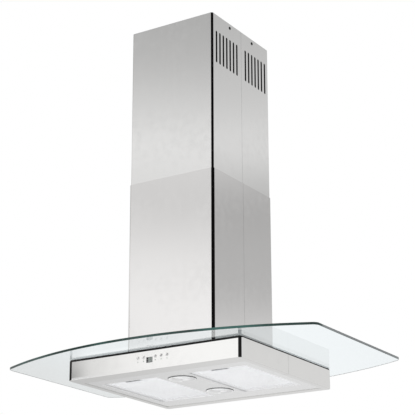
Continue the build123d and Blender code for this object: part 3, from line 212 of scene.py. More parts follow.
def fresh_tree(owner: bpy.types.Material | bpy.types.World) -> Graph:
    """Gives a new material or world an empty shader tree.

    Args:
        owner: the material or the world.

    Returns:
        Its tree.
    """
    owner.use_nodes = True
    owner.node_tree.nodes.clear()
    return Graph(owner.node_tree)


def shade(colour: Colour, factor: float) -> Colour:
    """A colour made lighter or darker by a factor."""
    return tuple(min(1.0, part * factor) for part in colour)


# ---------------------------------------------------------------- shared effects
class Effect:
    """A shader group that several finishes use, built once."""

    name = ""
    inputs: dict[str, float | tuple[float, float, float]] = {}
    outputs: tuple[str, ...] = ("Mask",)

    @classmethod
    def tree(cls) -> bpy.types.NodeTree:
        """The group's tree, built the first time it is asked for.

        Returns:
            The shader node group.
        """
        found = bpy.data.node_groups.get(cls.name)
        if found is not None:
            return found
        tree = bpy.data.node_groups.new(cls.name, "ShaderNodeTree")
        for name, value in cls.inputs.items():
            kind = "NodeSocketVector" if isinstance(value, tuple) else "NodeSocketFloat"
            socket = tree.interface.new_socket(name=name, in_out="INPUT", socket_type=kind)
            socket.default_value = value
        for name in cls.outputs:
            tree.interface.new_socket(name=name, in_out="OUTPUT", socket_type="NodeSocketFloat")
        graph = Graph(tree)
        given = graph.add("NodeGroupInput").outputs
        graph.add("NodeGroupOutput", cls.draw(graph, given))
        return tree

    @classmethod
    def draw(cls, graph: Graph, given: Outputs) -> dict[str, Socket]:
        """Draws the group's nodes from its inputs, and returns its outputs by name."""
        raise NotImplementedError


class Grain(Effect):
    """Long fine streaks of a brushed or drawn surface: noise on coordinates stretched one way."""

    name = "drawn grain"
    inputs = {"Lines": (900.0, 900.0, 14.0)}
    outputs = ("Tone", "Height")
    broader = (0.11, 0.11, 0.3)

    @classmethod
    def draw(cls, graph: Graph, given: Outputs) -> dict[str, Socket]:
        """Fine streaks for the height; the mean of them and of broad soft ones for the tone.

        Args:
            graph: the group's tree.
            given: the group's inputs.

        Returns:
            The group's outputs by name.
        """
        fine = graph.vector("MULTIPLY", graph.spot(), given["Lines"])[0]
        broad = graph.vector("MULTIPLY", fine, cls.broader)[0]
        streaks = graph.noise(1.0, at=fine)
        bands = graph.noise(1.0, 1.0, broad)
        return {"Tone": graph.times(graph.plus(streaks, bands), 0.5), "Height": streaks}


class Marks(Effect):
    """Patchy film left by wiping and handling: two sizes of cloud, kept where both are strong."""

    name = "handling marks"
    inputs = {"Scale": 7.0}
    finer = 9.0
    limits = (0.18, 0.42)

    @classmethod
    def draw(cls, graph: Graph, given: Outputs) -> dict[str, Socket]:
        """Large clouds broken up by small ones.

        Args:
            graph: the group's tree.
            given: the group's inputs.

        Returns:
            The group's outputs by name.
        """
        small = graph.noise(graph.times(given["Scale"], cls.finer), 3.0)
        both = graph.times(graph.noise(given["Scale"], 3.0), small)
        return {"Mask": graph.between(both, *cls.limits)}


class Rub(Effect):
    """Wear along edges: where a rounded normal leaves the face's own, broken up by noise."""

    name = "edge rub"
    inputs = {"Width": 0.0008}
    bent = (0.02, 0.25)
    speckle = 240.0
    speckled = (0.3, 0.65)

    @classmethod
    def draw(cls, graph: Graph, given: Outputs) -> dict[str, Socket]:
        """One less the dot product of both normals, times a fine noise.

        Args:
            graph: the group's tree.
            given: the group's inputs.

        Returns:
            The group's outputs by name.
        """
        rounded = graph.add("Bevel", {"Radius": given["Width"]}, samples=4).outputs[0]
        normal = graph.add("NewGeometry").outputs["Normal"]
        away = graph.rest(graph.vector("DOT_PRODUCT", rounded, normal)["Value"])
        broken = graph.between(graph.noise(cls.speckle), *cls.speckled)
        return {"Mask": graph.times(graph.between(away, *cls.bent), broken)}


class Dust(Effect):
    """Dust on faces that look up: the normal's height, broken up by noise."""

    name = "settled dust"
    inputs = {"Amount": 0.5}
    upward = (0.6, 0.98)
    cloud = 30.0
    cloudy = (0.3, 0.7)

    @classmethod
    def draw(cls, graph: Graph, given: Outputs) -> dict[str, Socket]:
        """A soft limit on the normal's Z, times a cloud and the amount.

        Args:
            graph: the group's tree.
            given: the group's inputs.

        Returns:
            The group's outputs by name.
        """
        up = graph.split(graph.add("NewGeometry").outputs["Normal"])["Z"]
        cloud = graph.between(graph.noise(cls.cloud, 5.0), *cls.cloudy)
        return {"Mask": graph.times(graph.between(up, *cls.upward), cloud, given["Amount"])}


class Tooth(Effect):
    """Fine even tooth of a moulded or cast skin: tight noise at a scale given per metre."""

    name = "moulded tooth"
    inputs = {"Scale": 1500.0}
    outputs = ("Height", "Tone")
    cloud = 22.0

    @classmethod
    def draw(cls, graph: Graph, given: Outputs) -> dict[str, Socket]:
        """Tight noise for the height and a slow one for the tone."""
        return {"Height": graph.noise(given["Scale"]), "Tone": graph.noise(cls.cloud, 3.0)}


class Fold(Effect):
    """Masks for painted reflections in the upright bends of folded sheet. The normal's X times its
    Y is nought on the flats and most in the middle of a bend, and its sign tells one pair of
    corners from the other."""

    name = "painted fold reflections"
    inputs = {"Both": 1.0, "Start": 0.06, "Front": 0.6}
    outputs = ("Dark", "Bright")
    ease = 0.05
    soft = 0.03

    @classmethod
    def draw(cls, graph: Graph, given: Outputs) -> dict[str, Socket]:
        """Past the start the bend gets a painted dark reflection while it still looks to the front
        or the rear, and a painted bright one once it has turned to the side.

        Args:
            graph: the group's tree.
            given: the group's inputs.

        Returns:
            The group's outputs by name.
        """
        part = graph.split(graph.own_normal())
        product = graph.times(part["X"], part["Y"])
        bend = graph.most(graph.times(product, -1.0), graph.times(product, given["Both"]))
        inside = graph.between(bend, given["Start"], graph.plus(given["Start"], cls.ease))
        front = graph.between(graph.size(part["Y"]), graph.plus(given["Front"], -cls.soft),
                              graph.plus(given["Front"], cls.soft))
        return {"Dark": graph.times(inside, front),
                "Bright": graph.times(inside, graph.rest(front))}


class Inner(Effect):
    """Faces that look inwards, to the hood's upright axis: place and normal disagree."""

    name = "inner faces"
    limits = (-0.02, -0.005)

    @classmethod
    def draw(cls, graph: Graph, given: Outputs) -> dict[str, Socket]:
        """The dot product of the level part of the place and the normal, where it is below
        nought.

        Args:
            graph: the group's tree.
            given: the group's inputs, not used.

        Returns:
            The group's outputs by name.
        """
        level = graph.vector("MULTIPLY", graph.spot(), (1.0, 1.0, 0.0))[0]
        dot = graph.vector("DOT_PRODUCT", level, graph.own_normal())["Value"]
        return {"Mask": graph.between(dot, *cls.limits, 1.0, 0.0)}


# ---------------------------------------------------------------- finishes
@dataclass(frozen=True)
class Finish:
    """What every finish has: its name, its colour in plain light, and how rough it is."""

    name: str
    colour: Colour
    roughness: float

    def material(self) -> bpy.types.Material:
        """The finish as a material, built the first time it is asked for.

        Returns:
            The material.
        """
        found = bpy.data.materials.get(self.name)
        if found is not None:
            return found
        made = bpy.data.materials.new(self.name)
        graph = fresh_tree(made)
        shader = graph.add("BsdfPrincipled", {"Roughness": self.roughness,
                                              "Base Color": self.colour})
        graph.add("OutputMaterial", {"Surface": self.coat(graph, shader)})
        return made

    def coat(self, graph: Graph, shader: Node) -> Socket:
        """Puts the finish's own nodes before the shader, and returns what the surface shows."""
        raise NotImplementedError

    def shades(self, graph: Graph, share: object, first: float, second: float) -> Socket:
        """Mixes two shades of the finish's colour, given as factors."""
        return graph.mix(share, shade(self.colour, first), shade(self.colour, second))

    def rubbed(self, graph: Graph, tone: Socket, wear: tuple[float, float, float]) -> Socket:
        """Makes a tone lighter along edges.

        Args:
            graph: the material's tree.
            tone: the tone away from the edges.
            wear: its width in millimetres, its share and the factor that lightens the colour.

        Returns:
            The rubbed tone.
        """
        width, share, factor = wear
        worn = graph.times(graph.effect(Rub, Width=width * MM)["Mask"], share)
        return graph.mix(worn, tone, shade(self.colour, factor))

    def lay(self, graph: Graph, shader: Node, tone: Socket, rough: Socket,
            height: Socket | None = None, depth: float = 0.0) -> Socket:
        """Feeds the shader's colour, roughness and, from a height, its normal.

        Args:
            graph: the material's tree.
            shader: its Principled BSDF.
            tone: the colour.
            rough: what the roughness has beyond the finish's own.
            height: the height from 0 to 1, if the surface has one.
            depth: how deep that is, in millimetres.

        Returns:
            The shader's output.
        """
        graph.feed(shader.inputs["Base Color"], tone)
        graph.feed(shader.inputs["Roughness"], graph.plus(rough, self.roughness))
        if height is not None:
            bump = graph.add("Bump", {"Height": height, "Distance": depth * MM})
            graph.feed(shader.inputs["Normal"], bump.outputs[0])
        return shader.outputs[0]


@dataclass(frozen=True)
class DrawnMetal(Finish):
    """Sheet metal with a grain: brushed stainless steel, drawn aluminium."""

    lines: tuple[float, float, float] = (900.0, 900.0, 14.0)
    depth: float = 0.004
    contrast: float = 0.02
    film: float = 0.04
    streak: float = 0.03
    dust: float = 0.4
    wear: tuple[float, float, float] = (0.7, 0.4, 1.1)

    def coat(self, graph: Graph, shader: Node) -> Socket:
        """Streaks in the tone, a wiped film in the roughness, and light rubbed edges.

        Args:
            graph: the material's tree.
            shader: its Principled BSDF.

        Returns:
            The socket that the surface shows.
        """
        grain = graph.effect(Grain, Lines=self.lines)
        film = graph.times(graph.effect(Marks, Scale=6.0)["Mask"], self.film)
        dust = graph.times(graph.effect(Dust, Amount=0.25)["Mask"], self.dust)
        tone = self.shades(graph, grain["Tone"], 1 - self.contrast, 1 + self.contrast)
        # Painted light and shade, where the finish's kind has any, go over the rubbed tone.
        tone = self.paint_light_and_shade(graph, self.rubbed(graph, tone, self.wear))
        tone = graph.mix(dust, tone, DUST_ON_STEEL)
        streaks = graph.times(grain["Tone"], self.streak)
        rough = graph.plus(film, streaks, dust, -self.streak)
        graph.feed(shader.inputs["Metallic"], 1.0)
        return self.lay(graph, shader, tone, rough, grain["Height"], self.depth)

    def paint_light_and_shade(self, graph: Graph, tone: Socket) -> Socket:
        """Flat sheet gets no painted light or shade, so its tone stays."""
        return tone


@dataclass(frozen=True)
class ShadedCorner:
    """What the front sheet mirrors towards its left corner: shade, most of it near the foot, with
    a bright line along the bottom bend and a dark bar beside the upright bend."""

    left: float
    fade: float = 75.0
    most: float = 0.52
    deep: float = 0.28
    low: float = -938.0
    high: float = -908.0
    at_high: float = 0.55
    foot: tuple[float, float] = (-946.0, -943.5)
    bright: float = 160.0
    bar: tuple[float, float] = (10.5, 12.5)

    def mark(self, graph: Graph, tone: Socket, finish: "FoldedSteel") -> Socket:
        """Marks the shade, the bright line and the bar.

        Args:
            graph: the material's tree.
            tone: the sheet's tone so far.
            finish: the sheet's finish.

        Returns:
            The marked tone.
        """
        facing = graph.between(graph.split(graph.own_normal())["Y"], -0.9, -0.8, 1.0, 0.0)
        place = graph.split(graph.spot())
        across = graph.plus(place["X"], -self.left * MM)
        foot = graph.between(place["Z"], self.foot[0] * MM, self.foot[1] * MM)
        shaded = graph.times(graph.between(across, 0.0, self.fade * MM, self.most, 0.0), foot,
                             graph.between(place["Z"], self.low * MM, self.high * MM, 1.0,
                                           self.at_high))
        bright = graph.times(graph.rest(foot), graph.between(across, 0.0, self.bright * MM,
                                                             1.0, 0.0))
        bar = graph.between(across, self.bar[0] * MM, self.bar[1] * MM, 1.0, 0.0)
        for share, colour in ((shaded, shade(finish.colour, self.deep)), (bright, WHITE),
                              (bar, shade(finish.colour, finish.fold_reflection))):
            tone = graph.mix(graph.times(share, facing), tone, colour)
        return tone


@dataclass(frozen=True)
class FoldedSteel(DrawnMetal):
    """Polished sheet folded round upright corners, with painted light and shade. Each bend gets a
    painted dark reflection and a painted bright one beside it; the top edge gets painted shade
    where the glass shades it; lips that look down, inner faces and the cut edges of slots and
    seams, which look along Y nearer to the middle than the sheet, get painted shade."""

    both: float = 0.0
    start: float = 0.12
    front: float = -1.0
    # Colour factors of the painted dark reflection in the bends, of painted shade on inner faces
    # and cut edges, and of painted shade on faces that look down.
    fold_reflection: float = 0.01
    inside: float = 0.02
    underside_shade: float = 1.0
    top: float = 1000.0
    top_front: float = 0.0
    cut: float = 0.0
    corner: ShadedCorner | None = None
    downward: tuple[float, float] = (-0.9, -0.6)
    shade_line: tuple[float, float] = (-0.4, 0.2)
    cut_soft: float = 3.0
    edge_on: tuple[float, float] = (0.5, 0.7)

    def paint_light_and_shade(self, graph: Graph, tone: Socket) -> Socket:
        """Paints reflections in the folds, and shade on the top edge, down-facing lips, inner faces
        and cuts.

        Args:
            graph: the material's tree.
            tone: the sheet's own tone.

        Returns:
            The marked tone.
        """
        # Painted reflections in the bends; painted shade on lips that look down and along the top
        # edge.
        folds = graph.effect(Fold, Both=self.both, Start=self.start, Front=self.front)
        normal, place = graph.split(graph.own_normal()), graph.split(graph.spot())
        along = graph.size(normal["Y"])
        down = graph.between(normal["Z"], *self.downward, 1.0, 0.0)
        height = graph.plus(place["Z"], graph.times(along, self.top_front * MM))
        edge = graph.between(height, *[(self.top + way) * MM for way in self.shade_line])
        for share, colour in ((down, shade(self.colour, self.underside_shade)), (folds["Bright"], WHITE),
                              (folds["Dark"], shade(self.colour, self.fold_reflection)),
                              (edge, (0.02, 0.02, 0.02))):
            tone = graph.mix(share, tone, colour)
        if self.corner is not None:
            tone = self.corner.mark(graph, tone, self)
        # Painted shade on inner faces and on the cut edges of slots and seams.
        near = graph.between(graph.size(place["Y"]), self.cut * MM,
                             (self.cut + self.cut_soft) * MM, 1.0, 0.0)
        cuts = graph.times(near, graph.between(along, *self.edge_on))
        painted_inner_shade = graph.most(graph.effect(Inner)["Mask"], cuts)
        return graph.mix(painted_inner_shade, tone, shade(self.colour, self.inside))


@dataclass(frozen=True)
class FlangedSteel(DrawnMetal):
    """Drawn sheet with flanged openings: the flanges get a painted highlight, white where the sheet
    stands upright.
    """

    upright: tuple[float, float] = (0.3, 0.6)

    def paint_light_and_shade(self, graph: Graph, tone: Socket) -> Socket:
        """Painted highlight: white where the sheet stands upright."""
        level = graph.size(graph.split(graph.own_normal())["Z"])
        return graph.mix(graph.between(level, *self.upright, 1.0, 0.0), tone, WHITE)


@dataclass(frozen=True)
class ZincCoat(Finish):
    """Hot-dipped sheet: crystals of slightly different grey, with dull patches."""

    crystals: float = 130.0
    tones: tuple[float, float] = (0.82, 1.12)
    wear: tuple[float, float, float] = (0.8, 0.5, 1.3)
    varied: tuple[float, float] = (-0.06, 0.08)
    film: float = 0.2
    dust: float = 0.3

    def coat(self, graph: Graph, shader: Node) -> Socket:
        """Cells of random grey, rougher where the coat has dulled, dust on top.

        Args:
            graph: the material's tree.
            shader: its Principled BSDF.

        Returns:
            The socket that the surface shows.
        """
        cells = graph.add("TexVoronoi", {"Vector": graph.spot(), "Scale": self.crystals})
        grey = graph.add("SeparateColor", {0: cells.outputs["Color"]}).outputs[0]
        film = graph.effect(Marks, Scale=12.0)["Mask"]
        dust = graph.effect(Dust, Amount=0.8)["Mask"]
        tone = self.rubbed(graph, self.shades(graph, grey, *self.tones), self.wear)
        varied = graph.between(grey, 0.0, 1.0, *self.varied)
        rough = graph.plus(graph.times(film, self.film), varied, graph.times(dust, self.dust))
        graph.feed(shader.inputs["Metallic"], 0.9)
        return self.lay(graph, shader, graph.mix(dust, tone, DUST_ON_ZINC), rough, grey, 0.01)


@dataclass(frozen=True)
class PlainMetal(Finish):
    """Plated or polished metal without a grain: screws, chrome, shafts."""

    tooth: float = 900.0
    depth: float = 0.003
    tones: tuple[float, float] = (0.93, 1.05)
    wear: tuple[float, float, float] = (0.4, 0.6, 1.3)
    film: float = 0.1

    def coat(self, graph: Graph, shader: Node) -> Socket:
        """A cloudy tone, a film that dulls the gloss, and bright edges.

        Args:
            graph: the material's tree.
            shader: its Principled BSDF.

        Returns:
            The socket that the surface shows.
        """
        skin = graph.effect(Tooth, Scale=self.tooth)
        film = graph.times(graph.effect(Marks, Scale=25.0)["Mask"], self.film)
        tone = self.rubbed(graph, self.shades(graph, skin["Tone"], *self.tones), self.wear)
        graph.feed(shader.inputs["Metallic"], 1.0)
        return self.lay(graph, shader, tone, film, skin["Height"], self.depth)


@dataclass(frozen=True)
class Moulded(Finish):
    """Plastic, rubber or paint: a fine tooth, faint clouding and lighter edges."""

    tooth: float = 1500.0
    depth: float = 0.015
    dust: float = 0.4
    lighter: float = 1.6
    tones: tuple[float, float] = (0.9, 1.1)
    wear: tuple[float, float] = (0.6, 0.5)
    clouded: float = 0.12
    dusty: float = 0.6

    def coat(self, graph: Graph, shader: Node) -> Socket:
        """Tone, tooth, rubbed edges and dust on what looks up.

        Args:
            graph: the material's tree.
            shader: its Principled BSDF.

        Returns:
            The socket that the surface shows.
        """
        skin = graph.effect(Tooth, Scale=self.tooth)
        dust = graph.times(graph.effect(Dust, Amount=self.dust)["Mask"], self.dusty)
        tone = self.rubbed(graph, self.shades(graph, skin["Tone"], *self.tones),
                           (*self.wear, self.lighter))
        rough = graph.plus(graph.times(skin["Tone"], self.clouded), -self.clouded / 2)
        return self.lay(graph, shader, graph.mix(dust, tone, DUST_ON_PLASTIC), rough,
                        skin["Height"], self.depth)


@dataclass(frozen=True)
class WovenAluminium(Finish):
    """Expanded mesh: bright strands and hollows darkened with painted shade, told apart by the
    pad's own attribute.
    """

    # The hollows' colour is painted shade.
    hollow: Colour = (0.80, 0.81, 0.83)
    filmed: float = 0.93
    dull: float = 0.2
    metallic: float = 0.15

    def coat(self, graph: Graph, shader: Node) -> Socket:
        """The attribute named hollow mixes the strand's tone with the hollows' painted shade;
        grease film varies the tone.

        Args:
            graph: the material's tree.
            shader: its Principled BSDF.

        Returns:
            The socket that the surface shows.
        """
        depth = graph.add("Attribute", attribute_name="hollow").outputs["Fac"]
        film = graph.effect(Marks, Scale=14.0)["Mask"]
        skin = graph.effect(Tooth, Scale=1200.0)
        tone = graph.mix(depth, self.shades(graph, film, 1.0, self.filmed), self.hollow)
        graph.feed(shader.inputs["Metallic"], self.metallic)
        return self.lay(graph, shader, tone, graph.times(depth, self.dull), skin["Height"], 0.02)


@dataclass(frozen=True)
class ClearGlass(Finish):
    """Clear sheet glass: lamps shine through it, and a wiped film varies its gloss a little.
    Painted shade makes its tint greyer towards the left end."""

    left: Colour = (0.862, 0.900, 0.904)
    turn: tuple[float, float] = (-420.0, -100.0)
    film: float = 0.02

    def coat(self, graph: Graph, shader: Node) -> Socket:
        """Full transmission; for rays from lamps the pane is a clear sheet of its own tint.

        Args:
            graph: the material's tree.
            shader: its Principled BSDF.

        Returns:
            The socket that the surface shows.
        """
        # Painted shade: the tint turns greyer towards the left end.
        across = graph.between(graph.split(graph.spot())["X"], *[x * MM for x in self.turn])
        film = graph.times(graph.effect(Marks, Scale=5.0)["Mask"], self.film)
        graph.feed(shader.inputs["Transmission Weight"], 1.0)
        graph.feed(shader.inputs["IOR"], GLASS_IOR)
        glass = self.lay(graph, shader, graph.mix(across, self.left, self.colour), film)
        clear = graph.add("BsdfTransparent", {"Color": self.colour}).outputs[0]
        return graph.shown(graph.add("LightPath").outputs["Is Shadow Ray"], glass, clear)


@dataclass(frozen=True)
class GlassEdge(Finish):
    """Edge of a green-tinted pane: dark where polished, paler and dull where only ground."""

    pale: Colour = (0.05, 0.16, 0.14)
    bands: tuple[float, float] = (0.45, 0.75)
    clouded: float = 0.08

    def coat(self, graph: Graph, shader: Node) -> Socket:
        """Slow bands along the edge from the deep to the pale tint, and fine grinding lines.

        Args:
            graph: the material's tree.
            shader: its Principled BSDF.

        Returns:
            The socket that the surface shows.
        """
        skin = graph.effect(Tooth, Scale=2500.0)
        bands = graph.between(graph.noise(5.0), *self.bands)
        graph.feed(shader.inputs["IOR"], GLASS_IOR)
        return self.lay(graph, shader, graph.mix(bands, self.colour, self.pale),
                        graph.times(skin["Tone"], self.clouded), skin["Height"], 0.004)


@dataclass(frozen=True)
class FrostedGlass(Finish):
    """Etched lens or bulb glass: milky, with a fine tooth. A silvered bulb close behind a lens
    shows in it as a soft mirror."""

    through: float = 0.3
    silver: float = 0.0
    tones: tuple[float, float] = (0.95, 1.03)
    clouded: float = 0.1

    def coat(self, graph: Graph, shader: Node) -> Socket:
        """Part transmission, clouded tone and a tight etched tooth.

        Args:
            graph: the material's tree.
            shader: its Principled BSDF.

        Returns:
            The socket that the surface shows.
        """
        skin = graph.effect(Tooth, Scale=2600.0)
        graph.feed(shader.inputs["Transmission Weight"], self.through)
        graph.feed(shader.inputs["Metallic"], self.silver)
        return self.lay(graph, shader, self.shades(graph, skin["Tone"], *self.tones),
                        graph.times(skin["Tone"], self.clouded), skin["Height"], 0.01)


@dataclass(frozen=True)
class Laminate(Finish):
    """Circuit board: copper tracks show as lighter lines under the green lacquer."""

    track: Colour = (0.10, 0.33, 0.12)
    cells: float = 320.0
    border: tuple[float, float] = (0.5, 0.62)

    def coat(self, graph: Graph, shader: Node) -> Socket:
        """Tracks follow the borders of square cells; the lacquer is glossy.

        Args:
            graph: the material's tree.
            shader: its Principled BSDF.

        Returns:
            The socket that the surface shows.
        """
        cells = graph.add("TexVoronoi", {"Vector": graph.spot(), "Scale": self.cells},
                          distance="MANHATTAN")
        line = graph.between(cells.outputs["Distance"], *self.border)
        skin = graph.effect(Tooth, Scale=1800.0)
        return self.lay(graph, shader, graph.mix(line, self.colour, self.track),
                        graph.times(skin["Tone"], 0.1), line, 0.02)


ACROSS = (14.0, 900.0, 900.0)
ALONG = (900.0, 14.0, 900.0)
LEVEL = (14.0, 14.0, 900.0)


class Finishes(Enum):
    """Every finish on the hood. One that bears the name of a packed material slot is that slot's,
    and the others belong to the pieces that name them."""

    # The case's steel paints reflections into its bends, shade on faces that look down, on inner
    # faces and along its top edge, and the left corner's shade.
    STAINLESS = FoldedSteel(
        "case steel", (0.955, 0.95, 0.935), 0.15, LEVEL, 0.0010, 0.01, both=1.0, front=0.45,
        fold_reflection=0.03, inside=0.8, underside_shade=0.68, top=-901.3, top_front=2.2, corner=ShadedCorner(-252.0))
    # Both chimney sections are the same steel: the lower one's darker colour is painted shade, and
    # the upper one paints shade on its vent slots' cut edges.
    UPPER_STEEL = FoldedSteel("upper chimney steel", (0.985, 0.98, 0.97), 0.14, depth=0.0012,
                              contrast=0.015, start=0.09, cut=132.0)
    LOWER_STEEL = FoldedSteel("lower chimney steel", (0.885, 0.873, 0.865), 0.14, depth=0.0012,
                              contrast=0.015, start=0.13)
    # The underside's steel is darker than the case's as painted shade on faces that look down; its
    # flanges get a painted highlight.
    PANEL_STEEL = FlangedSteel("underside steel", (0.78, 0.78, 0.78), 0.24, ALONG, 0.002)
    PLATE_STEEL = DrawnMetal("top plate steel", (0.76, 0.76, 0.76), 0.30, ACROSS, 0.006)
    GALVANISED_STEEL = ZincCoat("galvanised sheet", (0.52, 0.54, 0.56), 0.40)
    ZINC_FASTENER = PlainMetal("dark zinc fastener", (0.30, 0.29, 0.28), 0.34)
    # The cover screws' near-black heads and cross recesses are painted shade.
    BLACK_ZINC = PlainMetal("screw heads in painted shade", (0.03, 0.03, 0.03), 0.4)
    RECESS_SHADE = Moulded("screw recess in painted shade", (0.02, 0.02, 0.02), 0.7)
    CLEAR_GLASS = ClearGlass("clear glass", (0.91, 0.975, 1.0), 0.0)
    POLISHED_EDGE = GlassEdge("polished glass edge", (0.012, 0.03, 0.026), 0.12)
    GROUND_EDGE = GlassEdge("ground glass edge", (0.23, 0.245, 0.25), 0.45, (0.29, 0.31, 0.31))
    BLACK_RUBBER = Moulded("black rubber", (0.02, 0.02, 0.02), 0.75, 900.0, 0.03)
    FILTER_ALUMINIUM = DrawnMetal("filter aluminium", (0.96, 0.965, 0.975), 0.30, ALONG)
    FILTER_MESH = WovenAluminium("expanded aluminium", (0.97, 0.975, 0.985), 0.38)
    LATCH_PLASTIC = Moulded("latch plastic", (0.60, 0.61, 0.63), 0.22, 1500.0, 0.006, 0.1, 1.2)
    LAMP_CHROME = PlainMetal("lamp chrome", (0.96, 0.96, 0.965), 0.06, 600.0, 0.001)
    CHROME_EDGE = PlainMetal("shaded chrome edge", (0.05, 0.05, 0.055), 0.2, 600.0, 0.001)
    FROSTED_GLASS = FrostedGlass("frosted lens", (0.95, 0.955, 0.96), 0.30, 0.06, 0.55)
    LAMP_CUP = PlainMetal("pressed lamp cup", (0.78, 0.78, 0.78), 0.30)
    BULB_GLASS = FrostedGlass("bulb glass", (0.96, 0.95, 0.92), 0.12, 0.8)
    PIPE = FrostedGlass("light pipe", (0.34, 0.33, 0.33), 0.2)
    BLACK_PLASTIC = Moulded("black plastic", (0.03, 0.03, 0.033), 0.45)
    IMPELLER_PLASTIC = Moulded("impeller plastic", (0.10, 0.10, 0.11), 0.40)
    SHAFT_STEEL = PlainMetal("ground shaft", (0.66, 0.66, 0.67), 0.18)
    MOTOR_PAINT = Moulded("motor enamel", (0.13, 0.135, 0.14), 0.40, 700.0, 0.04, 0.6, 2.0)
    # Near black as painted shade inside the chimney, which shows through the vents.
    FRAME_PAINT = Moulded("frame in painted shade", (0.045, 0.045, 0.05), 0.45)
    BOARD_GREEN = Laminate("board lacquer", (0.02, 0.14, 0.06), 0.25)
    DISPLAY_BLACK = Moulded("smoked window", (0.008, 0.008, 0.010), 0.08, 2200.0, 0.001, 0.05, 1.1)
    LIQUID = Moulded("display glass", (0.30, 0.32, 0.30), 0.12, 2200.0, 0.001, 0.05, 1.1)
    INK = Moulded("printed mark", (0.05, 0.05, 0.055), 0.5, 2200.0, 0.002, 0.05, 1.3)
    PALE_INK = Moulded("pale printed mark", (0.55, 0.56, 0.57), 0.5, 2200.0, 0.002, 0.05, 1.1)
    KEY_GREY = PlainMetal("satin key cap", (0.93, 0.925, 0.915), 0.17)

    def material(self) -> bpy.types.Material:
        """The finish's material."""
        return self.value.material()


# ---------------------------------------------------------------- surfaces
@dataclass(frozen=True)
class Place:
    """Where a shape stands: its origin, and the ways that it runs across, up and out."""

    origin: tuple[float, float, float]
    across: tuple[float, float, float]
    up: tuple[float, float, float]
    out: tuple[float, float, float]

    def carry(self, across: np.ndarray, up: np.ndarray, out: np.ndarray) -> np.ndarray:
        """Origin plus each distance along its own way.

        Args:
            across: distances across, in millimetres.
            up: distances up.
            out: distances out.

        Returns:
            Points, one row of three numbers each.
        """
        parts = np.broadcast_arrays(across, up, out)
        ways = np.array([self.across, self.up, self.out], float)
        return np.array(self.origin, float) + np.stack(parts, -1) @ ways


def facing_front(x: float, y: float, z: float) -> Place:
    """A place on the front, looking along -Y."""
    return Place((x, y, z), (1, 0, 0), (0, 0, 1), (0, -1, 0))


def facing_down(x: float, y: float, z: float) -> Place:
    """A place on the underside, looking along -Z."""
    return Place((x, y, z), (1, 0, 0), (0, -1, 0), (0, 0, -1))


def facing_side(sign: int, x: float, y: float, z: float) -> Place:
    """A place on the right side for a sign of 1, or on the left side for -1."""
    return Place((x, y, z), (0, sign, 0), (0, 0, 1), (sign, 0, 0))


@dataclass
class Patch:
    """A sheet of points, rows by columns, in millimetres; a wrapped way ends where it starts."""

    points: np.ndarray
    wrap_rows: bool = False
    wrap_columns: bool = False
    finish: int = 0

    def quads(self, start: int) -> np.ndarray:
        """Corner numbers of the quads between neighbouring points.

        Args:
            start: number of the patch's first point in the mesh.

        Returns:
            One row of four numbers for each quad.
        """
        rows, columns = self.points.shape[:2]
        row = np.arange(rows if self.wrap_rows else rows - 1)[:, None]
        column = np.arange(columns if self.wrap_columns else columns - 1)[None, :]
        below, beside = (row + 1) % rows, (column + 1) % columns
        corners = [row * columns + column, row * columns + beside,
                   below * columns + beside, below * columns + column]
        return np.stack(corners, -1).reshape(-1, 4) + start


def soften(corners: np.ndarray, reach: float, closed: bool = True, steps: int = 5) -> np.ndarray:
    """Rounds a polygon's corners: each becomes a quadratic curve between points set back along
    both of its sides by the reach, or by half of a short side.

    Args:
        corners: one row for each corner, in two or three numbers.
        reach: how far back the rounding starts.
        closed: whether the last corner joins the first.
        steps: points along each rounding.

    Returns:
        The rounded outline's points.
    """
    before, after = np.roll(corners, 1, 0) - corners, np.roll(corners, -1, 0) - corners
    lengths = [np.linalg.norm(side, axis=1, keepdims=True) for side in (before, after)]
    cut = [np.minimum(0.5, reach / np.maximum(length, 1e-9)) for length in lengths]
    if not closed:
        cut[0][[0, -1]] = cut[1][[0, -1]] = 0.0
    start, end = corners + before * cut[0], corners + after * cut[1]
    share = np.linspace(0, 1, steps)[None, :, None]
    curve = (1 - share) ** 2 * start[:, None] + 2 * share * (1 - share) * corners[:, None]
    return (curve + share**2 * end[:, None]).reshape(-1, corners.shape[1])


def normals_of(path: np.ndarray, closed: bool) -> np.ndarray:
    """Unit normals to the right of a path in a plane: its direction turned by a quarter.

    Args:
        path: points in order, two numbers each.
        closed: whether the path joins up.

    Returns:
        One normal for each point.
    """
    way = np.roll(path, -1, 0) - np.roll(path, 1, 0) if closed else np.gradient(path, axis=0)
    way = way / np.maximum(np.linalg.norm(way, axis=1, keepdims=True), 1e-12)
    return np.stack([way[:, 1], -way[:, 0]], 1)


def lathe(profile: np.ndarray, place: Place, closed: bool = False, turns: int = 72) -> Patch:
    """A profile turned round a place's way out: radius times the cosine goes across, radius times
    the sine goes up, and the height goes out.

    Args:
        profile: radius and height of each point.
        place: where the axis stands.
        closed: whether the profile joins up.
        turns: points round the axis.

    Returns:
        The turned patch.
    """
    angle = np.arange(turns) * (2 * math.pi / turns)
    radius, height = profile[:, 0, None], profile[:, 1, None]
    points = place.carry(radius * np.cos(angle), radius * np.sin(angle), height)
    return Patch(points, wrap_rows=closed, wrap_columns=True)


def ribbon(path: np.ndarray, width: float, low: float, high: float, place: Place,
           closed: bool = False, finish: int = 0) -> Patch:
    """A flat bar along a path: at each point a rectangle, half its width to each side along the
    path's normal, between a low and a high face.

    Args:
        path: points across and up.
        width: the bar's width.
        low: distance out of its back face.
        high: distance out of its front face.
        place: where the path lies.
        closed: whether the path joins up.
        finish: number of the bar's finish in its piece.

    Returns:
        The bar's patch, open at its ends unless the path is closed.
    """
    side = normals_of(path, closed) * (width / 2)
    across = np.stack([path + side, path - side, path - side, path + side], 1)
    points = place.carry(across[..., 0], across[..., 1], np.array([low, low, high, high]))
    return Patch(points, closed, True, finish)


